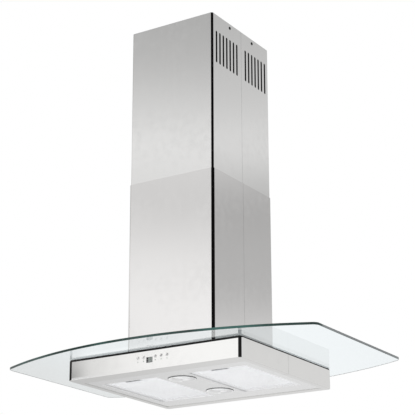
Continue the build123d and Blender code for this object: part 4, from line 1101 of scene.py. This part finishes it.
def arc(radius: float, first: float, last: float, across: float = 0.0, up: float = 0.0,
        steps: int = 24) -> np.ndarray:
    """Points between two angles in degrees: the centre, plus radius times cosine and sine."""
    angle = np.radians(np.linspace(first, last, steps))
    return np.stack([across + radius * np.cos(angle), up + radius * np.sin(angle)], 1)


@dataclass
class Piece:
    """What a new piece is: its name, the body that it rides on, its finishes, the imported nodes
    that it stands for, their material slot, and the angle past which its edges look sharp."""

    name: str
    body: str
    finishes: list[Finishes]
    stands_for: tuple[str, ...] = ()
    slot: str = ""
    sharp: float = 32.0

    def make(self, patches: list[Patch], attribute: np.ndarray | None = None) -> bpy.types.Object:
        """Joins patches into one closed mesh with its normals outwards, and sets it in the frame.

        Args:
            patches: the sheets, whose edges meet.
            attribute: a number for each point, kept as the attribute named hollow.

        Returns:
            The new object.
        """
        points = np.concatenate([patch.points.reshape(-1, 3) for patch in patches]) * MM
        starts = np.cumsum([0] + [patch.points.size // 3 for patch in patches])
        quads = [patch.quads(start) for patch, start in zip(patches, starts)]
        kinds = [np.full(len(faces), patch.finish) for faces, patch in zip(quads, patches)]
        mesh = bpy.data.meshes.new(self.name)
        mesh.from_pydata(points.tolist(), [], np.concatenate(quads).tolist())
        mesh.polygons.foreach_set("material_index", np.concatenate(kinds).astype(np.int32))
        if attribute is not None:
            mesh.attributes.new("hollow", "FLOAT", "POINT").data.foreach_set("value", attribute)
        shape = bmesh.new()
        shape.from_mesh(mesh)
        bmesh.ops.remove_doubles(shape, verts=shape.verts, dist=WELD * MM)
        bmesh.ops.holes_fill(shape, edges=shape.edges, sides=0)
        bmesh.ops.recalc_face_normals(shape, faces=shape.faces)
        shape.to_mesh(mesh)
        shape.free()
        mesh.shade_smooth()
        mesh.set_sharp_from_angle(angle=math.radians(self.sharp))
        made = bpy.data.objects.new(self.name, mesh)
        bpy.context.scene.collection.objects.link(made)
        for finish in self.finishes:
            mesh.materials.append(finish.material())
        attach(made, self.body)
        if self.stands_for:
            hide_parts(*self.stands_for)
        LOG.info("%s rides on %s, %d faces", self.name, self.body, len(mesh.polygons))
        return made


def repaint(piece: bpy.types.Object, old: int, new: int,
            test: Callable[[np.ndarray, np.ndarray], np.ndarray]) -> None:
    """Moves some of a finish's faces to another finish.

    Args:
        piece: the finished piece.
        old: number of the finish that they have.
        new: number of the finish that they get.
        test: tells, from the faces' normals and their middles in metres, which faces move.
    """
    mesh, count = piece.data, len(piece.data.polygons)
    normal, centre, kind = np.zeros(count * 3), np.zeros(count * 3), np.zeros(count, np.int32)
    mesh.polygons.foreach_get("normal", normal)
    mesh.polygons.foreach_get("center", centre)
    mesh.polygons.foreach_get("material_index", kind)
    moved = test(normal.reshape(-1, 3), centre.reshape(-1, 3))
    kind[(kind == old) & moved] = new
    mesh.polygons.foreach_set("material_index", kind)


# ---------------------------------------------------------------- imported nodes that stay
def true_up(node: bpy.types.Object, rounding: float) -> None:
    """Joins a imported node's loose triangles, eases its edges and keeps its flats flat, all in
    modifiers, so that its own mesh stays as it is.

    Args:
        node: the node's object.
        rounding: width of the eased edges in millimetres, or 0 to leave them sharp.
    """
    node.modifiers.new("joined", "WELD").merge_threshold = WELD * MM
    if rounding > 0:
        eased = node.modifiers.new("eased edges", "BEVEL")
        eased.width, eased.segments = rounding * MM, 2
        eased.limit_method, eased.angle_limit = "ANGLE", math.radians(EASED_FROM)
    node.modifiers.new("split corners", "EDGE_SPLIT").split_angle = math.radians(SPLIT_FROM)
    flat = node.modifiers.new("flat faces", "WEIGHTED_NORMAL")
    flat.mode, flat.weight = "FACE_AREA", 100


@dataclass
class SubAssembly:
    """A part of the hood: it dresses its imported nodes, and builds the pieces that they lack. Its
    sheet metal has an easing in millimetres, and special nodes a finish that isn't their slot's."""

    nodes: dict[str, bpy.types.Object]
    sheets: dict[str, float] = field(default_factory=dict)
    special: dict[str, Finishes] = field(default_factory=dict)

    def dress(self, names: list[str]) -> None:
        """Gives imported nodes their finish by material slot, and trues up the sheet metal.

        Args:
            names: the nodes of this sub-assembly that stay.
        """
        for name in names:
            node = self.nodes[name]
            slots = node.material_slots
            finish = self.special.get(name) or Finishes[slots[0].material.name.upper()]
            for slot in slots:
                slot.link = "OBJECT"
                slot.material = finish.material()
            if name in self.sheets:
                true_up(node, self.sheets[name])
            LOG.info("%s stays, in %s", name, finish.value.name)


@dataclass
class Chimney(SubAssembly):
    """Two telescopic sections of folded sheet, each in a front and a rear half."""

    screw_x: float = 127.0
    screw_y: float = 57.0
    screw_z: float = -13.0
    head_radius: float = 4.4
    head_height: float = 1.6
    shank: float = 2.0
    shank_length: float = 4.0
    cross: float = 1.1
    cross_width: float = 0.5

    def build(self) -> None:
        """Dresses the four sheets and builds the four cover screws."""
        for level, finish in (("lower", Finishes.LOWER_STEEL), ("upper", Finishes.UPPER_STEEL)):
            for half in ("front", "rear"):
                self.special[f"{level}_chimney_{half}"] = finish
        self.sheets = dict.fromkeys(self.special, 0.0)
        self.dress(list(self.sheets))
        self.screws()

    def screws(self) -> None:
        """Domed heads with a cross recess: the head's profile is turned round each side's way
        out, and two near-black bars stand in for the recess as painted shade. The heads' near-black
        is painted shade too."""
        r, h, end = self.head_radius, self.head_height, -self.shank_length
        dome = soften(np.array([(0, h), (1.3, h), (r * 0.8, h * 0.72), (r, 0.35), (r, 0),
                                (self.shank, 0), (self.shank, end), (0, end)]), 0.3, closed=False)
        bars = np.array([[(-1, 0), (1, 0)], [(0, -1), (0, 1)]]) * self.cross
        patches = []
        for sign in (1, -1):
            for y in (self.screw_y, -self.screw_y):
                place = facing_side(sign, sign * self.screw_x, y, self.screw_z)
                patches.append(lathe(dome, place, turns=40))
                patches += [ribbon(bar, self.cross_width, h - 0.4, h + 0.01, place, finish=1)
                            for bar in bars]
        Piece("cover_screws", "ceiling_frame", [Finishes.BLACK_ZINC, Finishes.RECESS_SHADE],
              ("upper_chimney_screws",), "zinc_fastener").make(patches)


@dataclass
class GlassPane(SubAssembly):
    """Flat pane with bowed front and rear edges, straight sides and a hole for the motor box."""

    width: float = 900.0
    depth: float = 649.7
    side: float = 436.0
    corner: float = 18.0
    low: float = -898.0
    thickness: float = 6.0
    arris: float = 0.6
    hole: tuple[float, float] = (222.0, 256.0)
    hole_power: float = 40.0
    polished: float = 192.0
    sideways: float = 0.93
    bow_steps: int = 90
    corner_steps: int = 16
    side_steps: int = 30

    def quarter(self) -> np.ndarray:
        """A quarter of the outline, from the middle of the front edge to the middle of the right
        side: the bowed edge's arc, the corner's arc tangent to it, and the straight side. The
        bow's radius is half the chord squared plus the bow squared, over twice the bow.

        Returns:
            Points X and Y.
        """
        half, bow = self.width / 2, (self.depth - self.side) / 2
        radius = (half**2 + bow**2) / (2 * bow)
        centre = radius - self.depth / 2
        round_x = half - self.corner
        round_y = centre - math.sqrt((radius - self.corner) ** 2 - round_x**2)
        lean = math.degrees(math.atan2(round_y - centre, round_x))
        edge = arc(radius, -90, lean, 0, centre, self.bow_steps)
        turn = arc(self.corner, lean, 0, round_x, round_y, self.corner_steps)[1:]
        y = np.linspace(round_y, 0, self.side_steps + 1)[1:]
        straight = np.stack([np.full_like(y, half), y], 1)
        return np.concatenate([edge, turn, straight])

    def outline(self) -> np.ndarray:
        """The whole outline, from four mirrored quarters.

        Returns:
            Points X and Y, in order round the pane.
        """
        right = self.quarter()
        rear = right[::-1][1:] * (1, -1)
        half = np.concatenate([right, rear])
        return np.concatenate([half, (half[::-1] * (-1, 1))[1:-1]])

    def build(self) -> None:
        """Builds the pane as one closed profile carried round it: out over the lower face, round
        the polished edge with its arrises, back over the upper face and down the hole. The sides
        are only ground, up to where the polish runs round two of the corners."""
        outer = self.outline()
        normal = normals_of(outer, closed=True)
        angle = np.arctan2(outer[:, 1], outer[:, 0])
        a, b = self.hole[0] / 2, self.hole[1] / 2
        reach = (np.abs(np.cos(angle) / a) ** self.hole_power
                 + np.abs(np.sin(angle) / b) ** self.hole_power) ** (-1 / self.hole_power)
        inner = np.stack([np.cos(angle), np.sin(angle)], 1) * reach[:, None]
        z0, z1, cut = self.low, self.low + self.thickness, self.arris
        rings = [(inner, z0), (outer - normal * cut, z0), (outer, z0 + cut), (outer, z1 - cut),
                 (outer - normal * cut, z1), (inner, z1)]
        rows = np.stack([np.column_stack([ring, np.full(len(ring), z)]) for ring, z in rings])
        faces = Patch(rows[[5, 0, 1]], wrap_columns=True)
        top = Patch(rows[[4, 5]], wrap_columns=True)
        rim = Patch(rows[1:5], wrap_columns=True, finish=1)
        made = Piece("glass_pane", "hood",
                     [Finishes.CLEAR_GLASS, Finishes.POLISHED_EDGE, Finishes.GROUND_EDGE],
                     ("glass_canopy",), "clear_glass", 25.0).make([faces, top, rim])
        made.visible_glossy = False
        run = self.width / 2 * self.polished * MM**2
        repaint(made, 1, 2, lambda normal, centre: (np.abs(normal[:, 0]) > self.sideways)
                & (centre[:, 0] * centre[:, 1] > -run))
        self.dress(["glass_clamp_ring"])


@dataclass
class Case(SubAssembly):
    """The steel case under the glass: front and rear shells, plates and the gasket."""

    def build(self) -> None:
        """Dresses the case's sheets and its gasket."""
        shells = ["canopy_front_shell", "canopy_rear_shell"]
        self.sheets = dict.fromkeys([*shells, "canopy_top_plate", "underside_panel"], 0.0)
        self.special = {"canopy_top_plate": Finishes.PLATE_STEEL,
                        "underside_panel": Finishes.PANEL_STEEL}
        self.dress([*self.sheets, "glass_gaskets"])


@dataclass
class Filter(SubAssembly):
    """A grease filter: aluminium rim, a pad of expanded mesh, and its finger latch."""

    hand: str = "left"
    centre_x: float = -128.0
    half_width: float = 73.2
    front: float = -124.2
    rear: float = 124.2
    low: float = -944.8
    high: float = -938.8
    notch_half: float = 26.0
    notch_rear: float = -110.2
    cell: tuple[float, float] = (6.4, 3.2)
    strand: float = 1.3
    step: float = 0.8

    def field_of_mesh(self, x0: float, x1: float, y0: float,
                      y1: float) -> tuple[Patch, np.ndarray]:
        """A sheet of expanded mesh over a rectangle. With A and B the sines of the sum and of the
        difference of both coordinates over their pitches, the depth is the root of |A| times |B|:
        none along the crossing strands, most in the middle of each diamond. One more line of
        points all round, at the pad's upper face, makes its sides.

        Args:
            x0: left end from the filter's middle.
            x1: right end.
            y0: front end.
            y1: rear end.

        Returns:
            The patch, and the depth of each of its points from 0 to 1.
        """
        across = np.linspace(x0, x1, round((x1 - x0) / self.step) + 1)
        along = np.linspace(y0, y1, round((y1 - y0) / self.step) + 1)
        x, y = np.meshgrid(across, along)
        p, q = self.cell
        a = np.abs(np.sin(math.pi * (x / p + y / q)))
        b = np.abs(np.sin(math.pi * (x / p - y / q)))
        depth = np.sqrt(a * b)
        z = self.low + self.strand * depth
        x, y = np.pad(x, 1, "edge"), np.pad(y, 1, "edge")
        z = np.pad(z, 1, constant_values=self.high)
        depth = np.pad(depth, 1, "edge")
        points = np.stack([x + self.centre_x, y, z], -1)
        return Patch(points), depth

    def build(self) -> None:
        """Dresses the rim and the latch, and builds the pad in three fields round the finger
        recess."""
        rim, latch = f"filter_frame_{self.hand}", f"latch_slider_{self.hand}"
        self.sheets = {rim: 0.5, latch: 0.5}
        self.dress([rim, latch])
        wide, notch = self.half_width, self.notch_half
        fields = [self.field_of_mesh(-wide, wide, self.notch_rear, self.rear),
                  self.field_of_mesh(-wide, -notch, self.front, self.notch_rear),
                  self.field_of_mesh(notch, wide, self.front, self.notch_rear)]
        depth = np.concatenate([deep.ravel() for _, deep in fields])
        Piece(f"filter_pad_{self.hand}", f"filter_{self.hand}", [Finishes.FILTER_MESH],
              (f"filter_mesh_{self.hand}",), "filter_mesh", 60.0).make(
                  [patch for patch, _ in fields], depth)


@dataclass
class Lamp(SubAssembly):
    """A recessed lamp: chrome bezel, ribbed lens and cup."""

    hand: str = "front"
    centre_y: float = -88.0
    flange: float = 36.0
    opening: float = 26.0
    neck: float = 31.8
    seat: float = 943.8
    panel: float = 948.8
    low: float = 950.0
    high: float = 939.8
    edge: float = 0.85
    chamfer: float = 0.8
    face: float = 3.0
    cone: tuple[float, float] = (3.2, 2.6)
    lens: float = 29.8
    lens_top: float = 941.3
    dome: float = 1.0
    rib_pitch: float = 1.6
    rib_height: float = 0.12

    def build(self) -> None:
        """Dresses the cup, and turns the bezel and the lens. Heights here run downwards. The
        lens bulges by the dome times one less the radius squared, and a cosine ribs it."""
        self.dress([f"lamp_housing_{self.hand}"])
        place = facing_down(0, self.centre_y, 0)
        flange, opening, inside = self.flange, self.opening, self.lens + 0.2
        corners = np.array([
            (flange, self.panel), (flange, self.low - 0.3), (flange - self.chamfer, self.low),
            (flange - self.face, self.low), (opening + self.cone[0], self.low - self.cone[1]),
            (opening, self.seat + 0.4), (opening, self.seat), (inside, self.seat),
            (inside, self.high), (self.neck, self.high), (self.neck, self.panel)])
        bezel = Piece(f"lamp_bezel_{self.hand}", "hood",
                      [Finishes.LAMP_CHROME, Finishes.CHROME_EDGE],
                      (f"lamp_ring_{self.hand}",), "lamp_chrome", 50.0).make(
                          [lathe(soften(corners, 0.5), place, closed=True, turns=120)])
        # The bezel's outer rim gets painted shade.
        rim = (flange - self.edge) * MM
        repaint(bezel, 0, 1, lambda normal, centre: np.hypot(
            centre[:, 0], centre[:, 1] - self.centre_y * MM) > rim)
        radius = np.linspace(0, opening, 90)
        bulge = self.dome * (1 - (radius / opening) ** 2)
        ribs = self.rib_height * (np.cos(2 * math.pi * radius / self.rib_pitch) - 1)
        face = np.stack([radius, self.seat + bulge + ribs], 1)
        back = np.array([(self.lens, self.seat), (self.lens, self.lens_top), (0, self.lens_top)])
        Piece(f"lamp_lens_ribbed_{self.hand}", "hood", [Finishes.FROSTED_GLASS],
              (f"lamp_lens_{self.hand}",), "frosted_glass", 40.0).make(
                  [lathe(np.concatenate([face, back]), place, turns=96)])


class Mark(Enum):
    """What is printed on a key."""

    MINUS = "minus"
    PLUS = "plus"
    LIGHT = "light"
    TIMER = "timer"
    POWER = "power"

    def strokes(self) -> list[tuple[np.ndarray, bool]]:
        """The mark's strokes: lines and arcs, each with whether it joins up.

        Returns:
            A list of paths across and up from the key's middle, in millimetres.
        """
        bar = (np.array([(-1.5, 0.0), (1.5, 0.0)]), False)
        if self is Mark.MINUS:
            return [bar]
        if self is Mark.PLUS:
            return [bar, (np.array([(0.0, -1.5), (0.0, 1.5)]), False)]
        if self is Mark.LIGHT:
            return [(arc(1.25, -55, 235, 0, 0.55), False),
                    (np.array([(-0.6, -1.1), (0.6, -1.1)]), False),
                    (np.array([(-0.45, -1.75), (0.45, -1.75)]), False)]
        if self is Mark.TIMER:
            return [(arc(1.7, 0, 352, 0, 0, 40), True),
                    (np.array([(0.0, 1.05), (0.0, 0.0), (0.8, -0.35)]), False)]
        return [(arc(1.6, 125, 415, 0, -0.1), False), (np.array([(0.0, 0.3), (0.0, 2.0)]), False)]


SEGMENTS = {"top": ((-1, 2), (1, 2)), "upper right": ((1, 2), (1, 0)),
            "lower right": ((1, 0), (1, -2)), "bottom": ((1, -2), (-1, -2)),
            "lower left": ((-1, -2), (-1, 0)), "upper left": ((-1, 0), (-1, 2)),
            "middle": ((-1, 0), (1, 0))}
DIGITS = {"0": ("top", "upper right", "lower right", "bottom", "lower left", "upper left"),
          "2": ("top", "upper right", "middle", "lower left", "bottom")}


@dataclass
class Controls(SubAssembly):
    """Five push keys with a light pipe under each, and a display in the same row."""

    front: float = -224.0
    key_z: float = -918.5
    pipe_z: float = -927.5
    pitch: float = 17.0
    start: float = -39.5
    proud: float = 0.4
    cap: float = 4.0
    collar: float = 5.4
    collar_front: float = -1.4
    collar_back: float = -2.6
    stem: float = 2.0
    stem_end: float = -11.2
    stroke: float = 0.8
    pipe: float = 0.98
    window: tuple[float, float, float, float] = (-14.3, 3.3, -932.2, -919.2)
    window_face: float = -223.8
    window_back: float = -220.0
    field_x: tuple[float, float] = (-3.4, 8.0)
    field_height: float = 11.0
    digits: str = "20"
    digit_size: tuple[float, float] = (1.25, 1.6)
    digit_x: float = 0.3
    digit_pitch: float = 4.2
    rings: tuple[tuple[float, float], ...] = ((-5.4, -3.4), (-5.4, 1.2))

    def build(self) -> None:
        """Dresses the housing and the board, and builds keys, marks, pipes and display."""
        self.dress(["control_housing", "control_board"])
        for mark, slot in zip(Mark, (0, 1, 3, 4, 5)):
            self.key(mark, self.start + slot * self.pitch)
        self.display()

    def key(self, mark: Mark, x: float) -> None:
        """A cap with a shallow dish, turned round the way out, with its mark and the lens of its
        light pipe.

        Args:
            mark: what the key says.
            x: the key's place in the row.
        """
        place = facing_front(x, self.front, self.key_z)
        face, r, stem = self.proud, self.cap, self.stem
        profile = soften(np.array([
            (0, face - 0.12), (r * 0.55, face - 0.10), (r * 0.82, face), (r, face - 0.05),
            (r, self.collar_front), (self.collar, self.collar_front),
            (self.collar, self.collar_back), (stem, self.collar_back), (stem, self.stem_end),
            (0, self.stem_end)]), 0.18, closed=False)
        strokes = [ribbon(path, self.stroke, face - 0.3, face - 0.06, place, closed, 1)
                   for path, closed in mark.strokes()]
        Piece(f"key_cap_{mark.value}", f"key_{mark.value}", [Finishes.KEY_GREY, Finishes.INK],
              (f"key_{mark.value}",), "key_grey").make([lathe(profile, place, turns=56), *strokes])
        r = self.pipe
        lens = soften(np.array([(0, 0.05), (0.7, 0.03), (r, -0.1), (r, -0.8), (0, -0.8)]), 0.1,
                      closed=False)
        Piece(f"indicator_{mark.value}", "hood", [Finishes.PIPE]).make(
            [lathe(lens, facing_front(x, self.front, self.pipe_z), turns=24)])

    def display(self) -> None:
        """A smoked window with softened edges; behind its face a pale field with two digits,
        each made of bars along seven lines, and two small rings on the dark side."""
        x0, x1, z0, z1 = self.window
        place = facing_front((x0 + x1) / 2, self.window_face, (z0 + z1) / 2)
        half = np.array([(x1 - x0) / 2, (z1 - z0) / 2])
        outline = soften(np.array([(-1, -1), (1, -1), (1, 1), (-1, 1)]) * half, 0.6)
        inner = outline - normals_of(outline, closed=True) * 0.25
        back = self.window_face - self.window_back
        rings = [(outline * 0.0, 0.0), (inner, 0.0), (outline, -0.25), (outline, back),
                 (outline * 0.0, back)]
        rows = np.stack([place.carry(ring[:, 0], ring[:, 1], np.float64(out))
                         for ring, out in rings])
        middle = np.array([(x, 0.0) for x in self.field_x])
        patches = [Patch(rows, wrap_columns=True),
                   ribbon(middle, self.field_height, -0.2, 0.03, place, finish=1)]
        for index, digit in enumerate(self.digits):
            shift = (self.digit_x + index * self.digit_pitch, 0.0)
            for name in DIGITS[digit]:
                path = np.array(SEGMENTS[name], float) * self.digit_size + shift
                patches.append(ribbon(path, 0.55, -0.1, 0.06, place, finish=2))
        for x, z in self.rings:
            patches.append(ribbon(arc(0.7, 0, 348, x, z, 30), 0.35, -0.1, 0.04, place, True, 3))
        Piece("display_glass", "hood",
              [Finishes.DISPLAY_BLACK, Finishes.LIQUID, Finishes.INK, Finishes.PALE_INK],
              ("display_window",), "display_black").make(patches)


@dataclass
class Inside(SubAssembly):
    """What hangs, drives and wires the hood inside its sheets: frame, blower, outlet, box."""

    def build(self) -> None:
        """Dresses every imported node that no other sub-assembly has dressed."""
        rails = [f"{level}_rail_{end}_{hand}" for level in ("upper", "lower")
                 for end in ("front", "rear") for hand in ("left", "right")]
        sheets = [*rails, "upper_frame_brace", "lower_frame_brace", "ceiling_plate",
                  "motor_box", "motor_box_lid", "lower_chimney_base"]
        self.sheets = dict.fromkeys(sheets, 0.0)
        # Rails and braces get near-black painted shade, as the chimney's inside shows through the
        # vents.
        self.special = dict.fromkeys([*rails, "upper_frame_brace", "lower_frame_brace"],
                                     Finishes.FRAME_PAINT)
        others = ["ceiling_nuts", "frame_bolts", "outlet_collar", "scroll_housing_left",
                  "scroll_housing_right", "motor", "motor_bracket", "terminal_box",
                  "cable_gland", "impeller", "motor_shaft", "damper_flap_left",
                  "damper_flap_right", "lamp_bulbs"]
        self.dress([*sheets, *others])


# ---------------------------------------------------------------- studio
def stage_sheet(name: str, half: tuple[float, float], height: float, up: bool,
                material: bpy.types.Material) -> None:
    """Stages a level rectangle about the upright axis, its corners anticlockwise as seen from the
    side that it faces.

    Args:
        name: its name.
        half: half its size along X and Y, in metres.
        height: its Z, in metres.
        up: whether it faces up or down.
        material: its material.
    """
    x, y = half
    corners = [(-x, -y, height), (x, -y, height), (x, y, height), (-x, y, height)]
    mesh = bpy.data.meshes.new(name)
    mesh.from_pydata(corners if up else corners[::-1], [], [(0, 1, 2, 3)])
    mesh.materials.append(material)
    sheet = bpy.data.objects.new(name, mesh)
    bpy.context.scene.collection.objects.link(sheet)


def set_up(name: str, data: bpy.types.ID, spot: tuple[float, float, float],
           way: Vector) -> bpy.types.Object:
    """Sets up a camera or a lamp.

    Args:
        name: its name.
        data: the camera's or the lamp's own data.
        spot: where it stands, in metres.
        way: the way that it looks.

    Returns:
        The new object.
    """
    made = bpy.data.objects.new(name, data)
    made.location = spot
    made.rotation_mode = "QUATERNION"
    made.rotation_quaternion = way.to_track_quat("-Z", "Y")
    bpy.context.scene.collection.objects.link(made)
    return made


@dataclass
class Studio:
    """Camera, pale floor, white surroundings and soft lamps. Lengths here are in metres, and ways
    round the hood are in degrees from its front, to the right."""

    eye: tuple[float, float, float] = (1.9396, -3.0380, -1.6904)
    yaw: float = 32.73
    pitch: float = 18.62
    lens: float = 125.40
    sensor: float = 36.0
    shift: float = 0.0252
    floor_z: float = -2.65
    floor_half: float = 45.0
    floor_white: float = 0.6
    floor_near: tuple[float, float, float] = (3.0, 7.0, 0.93)
    ceiling_half: tuple[float, float] = (0.118, 0.135)
    ceiling_z: float = -0.0045
    aim: tuple[float, float, float] = (0.0, 0.0, -0.55)
    even_light: float = 0.80
    behind: tuple[float, float, float] = (-33.0, 105.0, 160.0)
    flag_left: tuple[float, float] = (-75.0, -55.0)
    flag_right: tuple[float, float] = (-40.5, -35.5)
    flag_top: tuple[float, float] = (13.0, 15.0)
    flag_grey: float = 0.92
    front_light: tuple[tuple[float, float], ...] = (
        (0.0, 1.0), (15.2, 1.0), (16.9, 0.89), (18.9, 0.54), (20.9, 0.92), (22.8, 0.60),
        (24.4, 0.45), (27.0, 0.38), (34.0, 0.40), (80.0, 0.90))
    rear_light: tuple[tuple[float, float], ...] = (
        (0.0, 0.78), (11.0, 0.69), (13.8, 0.72), (14.9, 0.47), (16.9, 0.50), (18.9, 0.40),
        (20.9, 0.78), (22.8, 0.57), (27.0, 0.45), (34.0, 0.43), (80.0, 0.90))
    wall_tone: tuple[tuple[float, float], ...] = (
        (-180.0, 0.80), (-140.0, 0.65), (-100.0, 0.80), (-60.0, 0.85), (-46.0, 1.0), (-26.0, 1.0),
        (0.0, 0.72), (45.0, 0.50), (75.0, 0.70), (100.0, 0.90), (135.0, 1.0), (160.0, 1.0),
        (180.0, 0.80))
    floor_tone: tuple[tuple[float, float], ...] = (
        (-180.0, 0.75), (-162.0, 0.98), (-150.0, 1.0), (-146.0, 0.90), (-138.0, 0.60),
        (-110.0, 0.62), (-90.0, 0.66), (-50.0, 1.0), (-15.0, 1.0), (45.0, 0.55), (90.0, 0.72),
        (135.0, 0.65), (180.0, 0.75))

    def build(self) -> None:
        """Sets up the camera, the floor, the surroundings and the lamps."""
        self.camera()
        self.floor()
        self.dark_ceiling()
        self.surroundings()
        self.lamps()

    def camera(self) -> None:
        """The camera at the photograph's angle: it looks up at the hood from the front right."""
        data = bpy.data.cameras.new("camera")
        data.lens, data.sensor_width, data.shift_x = self.lens, self.sensor, self.shift
        data.clip_start, data.clip_end = 0.1, 100.0
        yaw, pitch = math.radians(self.yaw), math.radians(self.pitch)
        way = Vector((-math.sin(yaw) * math.cos(pitch), math.cos(yaw) * math.cos(pitch),
                      math.sin(pitch)))
        bpy.context.scene.camera = set_up("camera", data, self.eye, way)

    def turn_of(self, graph: Graph, part: Outputs) -> Socket:
        """How far round the hood a way of known X, Y and Z points."""
        return graph.times(graph.math("ARCTAN2", part["X"], graph.times(part["Y"], -1.0)), DEGREES)

    def floor(self) -> None:
        """A plain pale floor far below, clear from beneath so that a low camera sees past it. It
        shows white, and metal mirrors it greyer by the way round the hood."""
        material = bpy.data.materials.new("pale floor")
        graph = fresh_tree(material)
        colour = graph.mix(graph.noise(1.5), (0.86, 0.86, 0.86), (0.89, 0.89, 0.89))
        lit = graph.add("BsdfDiffuse", {"Color": colour}).outputs[0]
        path = graph.add("LightPath").outputs
        seen = graph.most(path["Is Camera Ray"], path["Is Glossy Ray"],
                          path["Is Transmission Ray"])
        part = graph.split(graph.spot())
        away = graph.math("SQRT", graph.plus(graph.math("POWER", part["X"], 2.0),
                                             graph.math("POWER", part["Y"], 2.0)))
        tone = graph.times(graph.ramp(self.turn_of(graph, part), self.floor_tone),
                           graph.between(away, *self.floor_near))
        tone = graph.mix(path["Is Glossy Ray"], WHITE, tone)
        white = graph.add("Emission", {"Strength": tone}).outputs[0]
        face = graph.shown(graph.times(seen, self.floor_white), lit, white)
        back = graph.add("NewGeometry").outputs["Backfacing"]
        clear = graph.add("BsdfTransparent").outputs[0]
        graph.add("OutputMaterial", {"Surface": graph.shown(back, face, clear)})
        stage_sheet("floor", (self.floor_half, self.floor_half), self.floor_z, True, material)

    def dark_ceiling(self) -> None:
        """The unlit ceiling over the chimney, seen through the vents: a plate that is dark from
        below and clear from above, and that lets the lamps' light in."""
        material = bpy.data.materials.new("dark ceiling")
        graph = fresh_tree(material)
        colour = graph.mix(graph.noise(30.0), (0.015, 0.015, 0.015), (0.03, 0.03, 0.03))
        dark = graph.add("BsdfDiffuse", {"Color": colour}).outputs[0]
        clear = graph.add("BsdfTransparent").outputs[0]
        open_to = graph.most(graph.add("NewGeometry").outputs["Backfacing"],
                             graph.add("LightPath").outputs["Is Shadow Ray"])
        graph.add("OutputMaterial", {"Surface": graph.shown(open_to, dark, clear)})
        stage_sheet("dark_ceiling", self.ceiling_half, self.ceiling_z, False, material)

    def surroundings(self) -> None:
        """White surroundings for the camera and through glass. What metal mirrors is white near
        the horizon and greyer higher up and behind the hood, with a soft grey flag low on the
        left. Diffuse light is even. A ray that metal has mirrored once stays a mirrored one
        behind glass."""
        world = bpy.data.worlds.new("studio")
        graph = fresh_tree(world)
        part = graph.split(graph.add("TexCoord").outputs["Generated"])
        height = graph.times(graph.math("ARCSINE", part["Z"]), DEGREES)
        turn = self.turn_of(graph, part)
        middle, start, end = self.behind
        behind = graph.between(graph.size(graph.plus(turn, -middle)), start, end)
        wall = graph.mix(behind, graph.ramp(height, self.front_light),
                         graph.ramp(height, self.rear_light))
        flag = graph.times(graph.between(turn, *self.flag_right, 1.0, 0.0),
                           graph.between(turn, *self.flag_left),
                           graph.between(height, *self.flag_top, self.flag_grey, 0.0))
        mirrored = graph.times(wall, graph.ramp(turn, self.wall_tone), graph.rest(flag))
        path = graph.add("LightPath").outputs
        once = graph.math("MINIMUM", path["Glossy Depth"], 1.0)
        through = graph.times(path["Is Transmission Ray"], graph.rest(once))
        metal = graph.most(path["Is Glossy Ray"], graph.times(path["Is Transmission Ray"], once))
        lit = graph.plus(graph.times(metal, mirrored),
                         graph.times(path["Is Diffuse Ray"], self.even_light))
        strength = graph.most(path["Is Camera Ray"], through, lit)
        back = graph.add("Background", {"Color": WHITE, "Strength": strength})
        graph.add("OutputWorld", {"Surface": back.outputs[0]})
        bpy.context.scene.world = world

    def lamps(self) -> None:
        """Three large soft lamps: from the front left, from above and, weaker, from below."""
        for name, spot, size, power in (
            ("key light", (-2.6, -3.4, 0.9), 2.4, 55.0),
            ("top light", (0.6, 0.4, 2.6), 3.0, 45.0),
            ("low light", (0.3, -0.6, -2.55), 2.4, 20.0),
        ):
            data = bpy.data.lights.new(name, "AREA")
            data.energy, data.size = power, size
            lamp = set_up(name, data, spot, Vector(self.aim) - Vector(spot))
            lamp.visible_glossy = lamp.visible_transmission = False


def set_view() -> None:
    """Keeps colours as they are written."""
    bpy.context.scene.view_settings.view_transform = "Standard"


def main() -> None:
    """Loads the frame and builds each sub-assembly in order."""
    logging.basicConfig(level=logging.INFO, format="%(message)s", stream=sys.stdout)
    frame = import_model()
    nodes = frame["nodes"]
    set_view()
    Studio().build()
    for part in (
        GlassPane(nodes), Case(nodes), Chimney(nodes),
        Filter(nodes), Filter(nodes, hand="right", centre_x=128.0),
        Lamp(nodes), Lamp(nodes, hand="rear", centre_y=88.0),
        Controls(nodes), Inside(nodes),
    ):
        LOG.info("building %s", type(part).__name__)
        part.build()


if __name__ == "__main__":
    main()
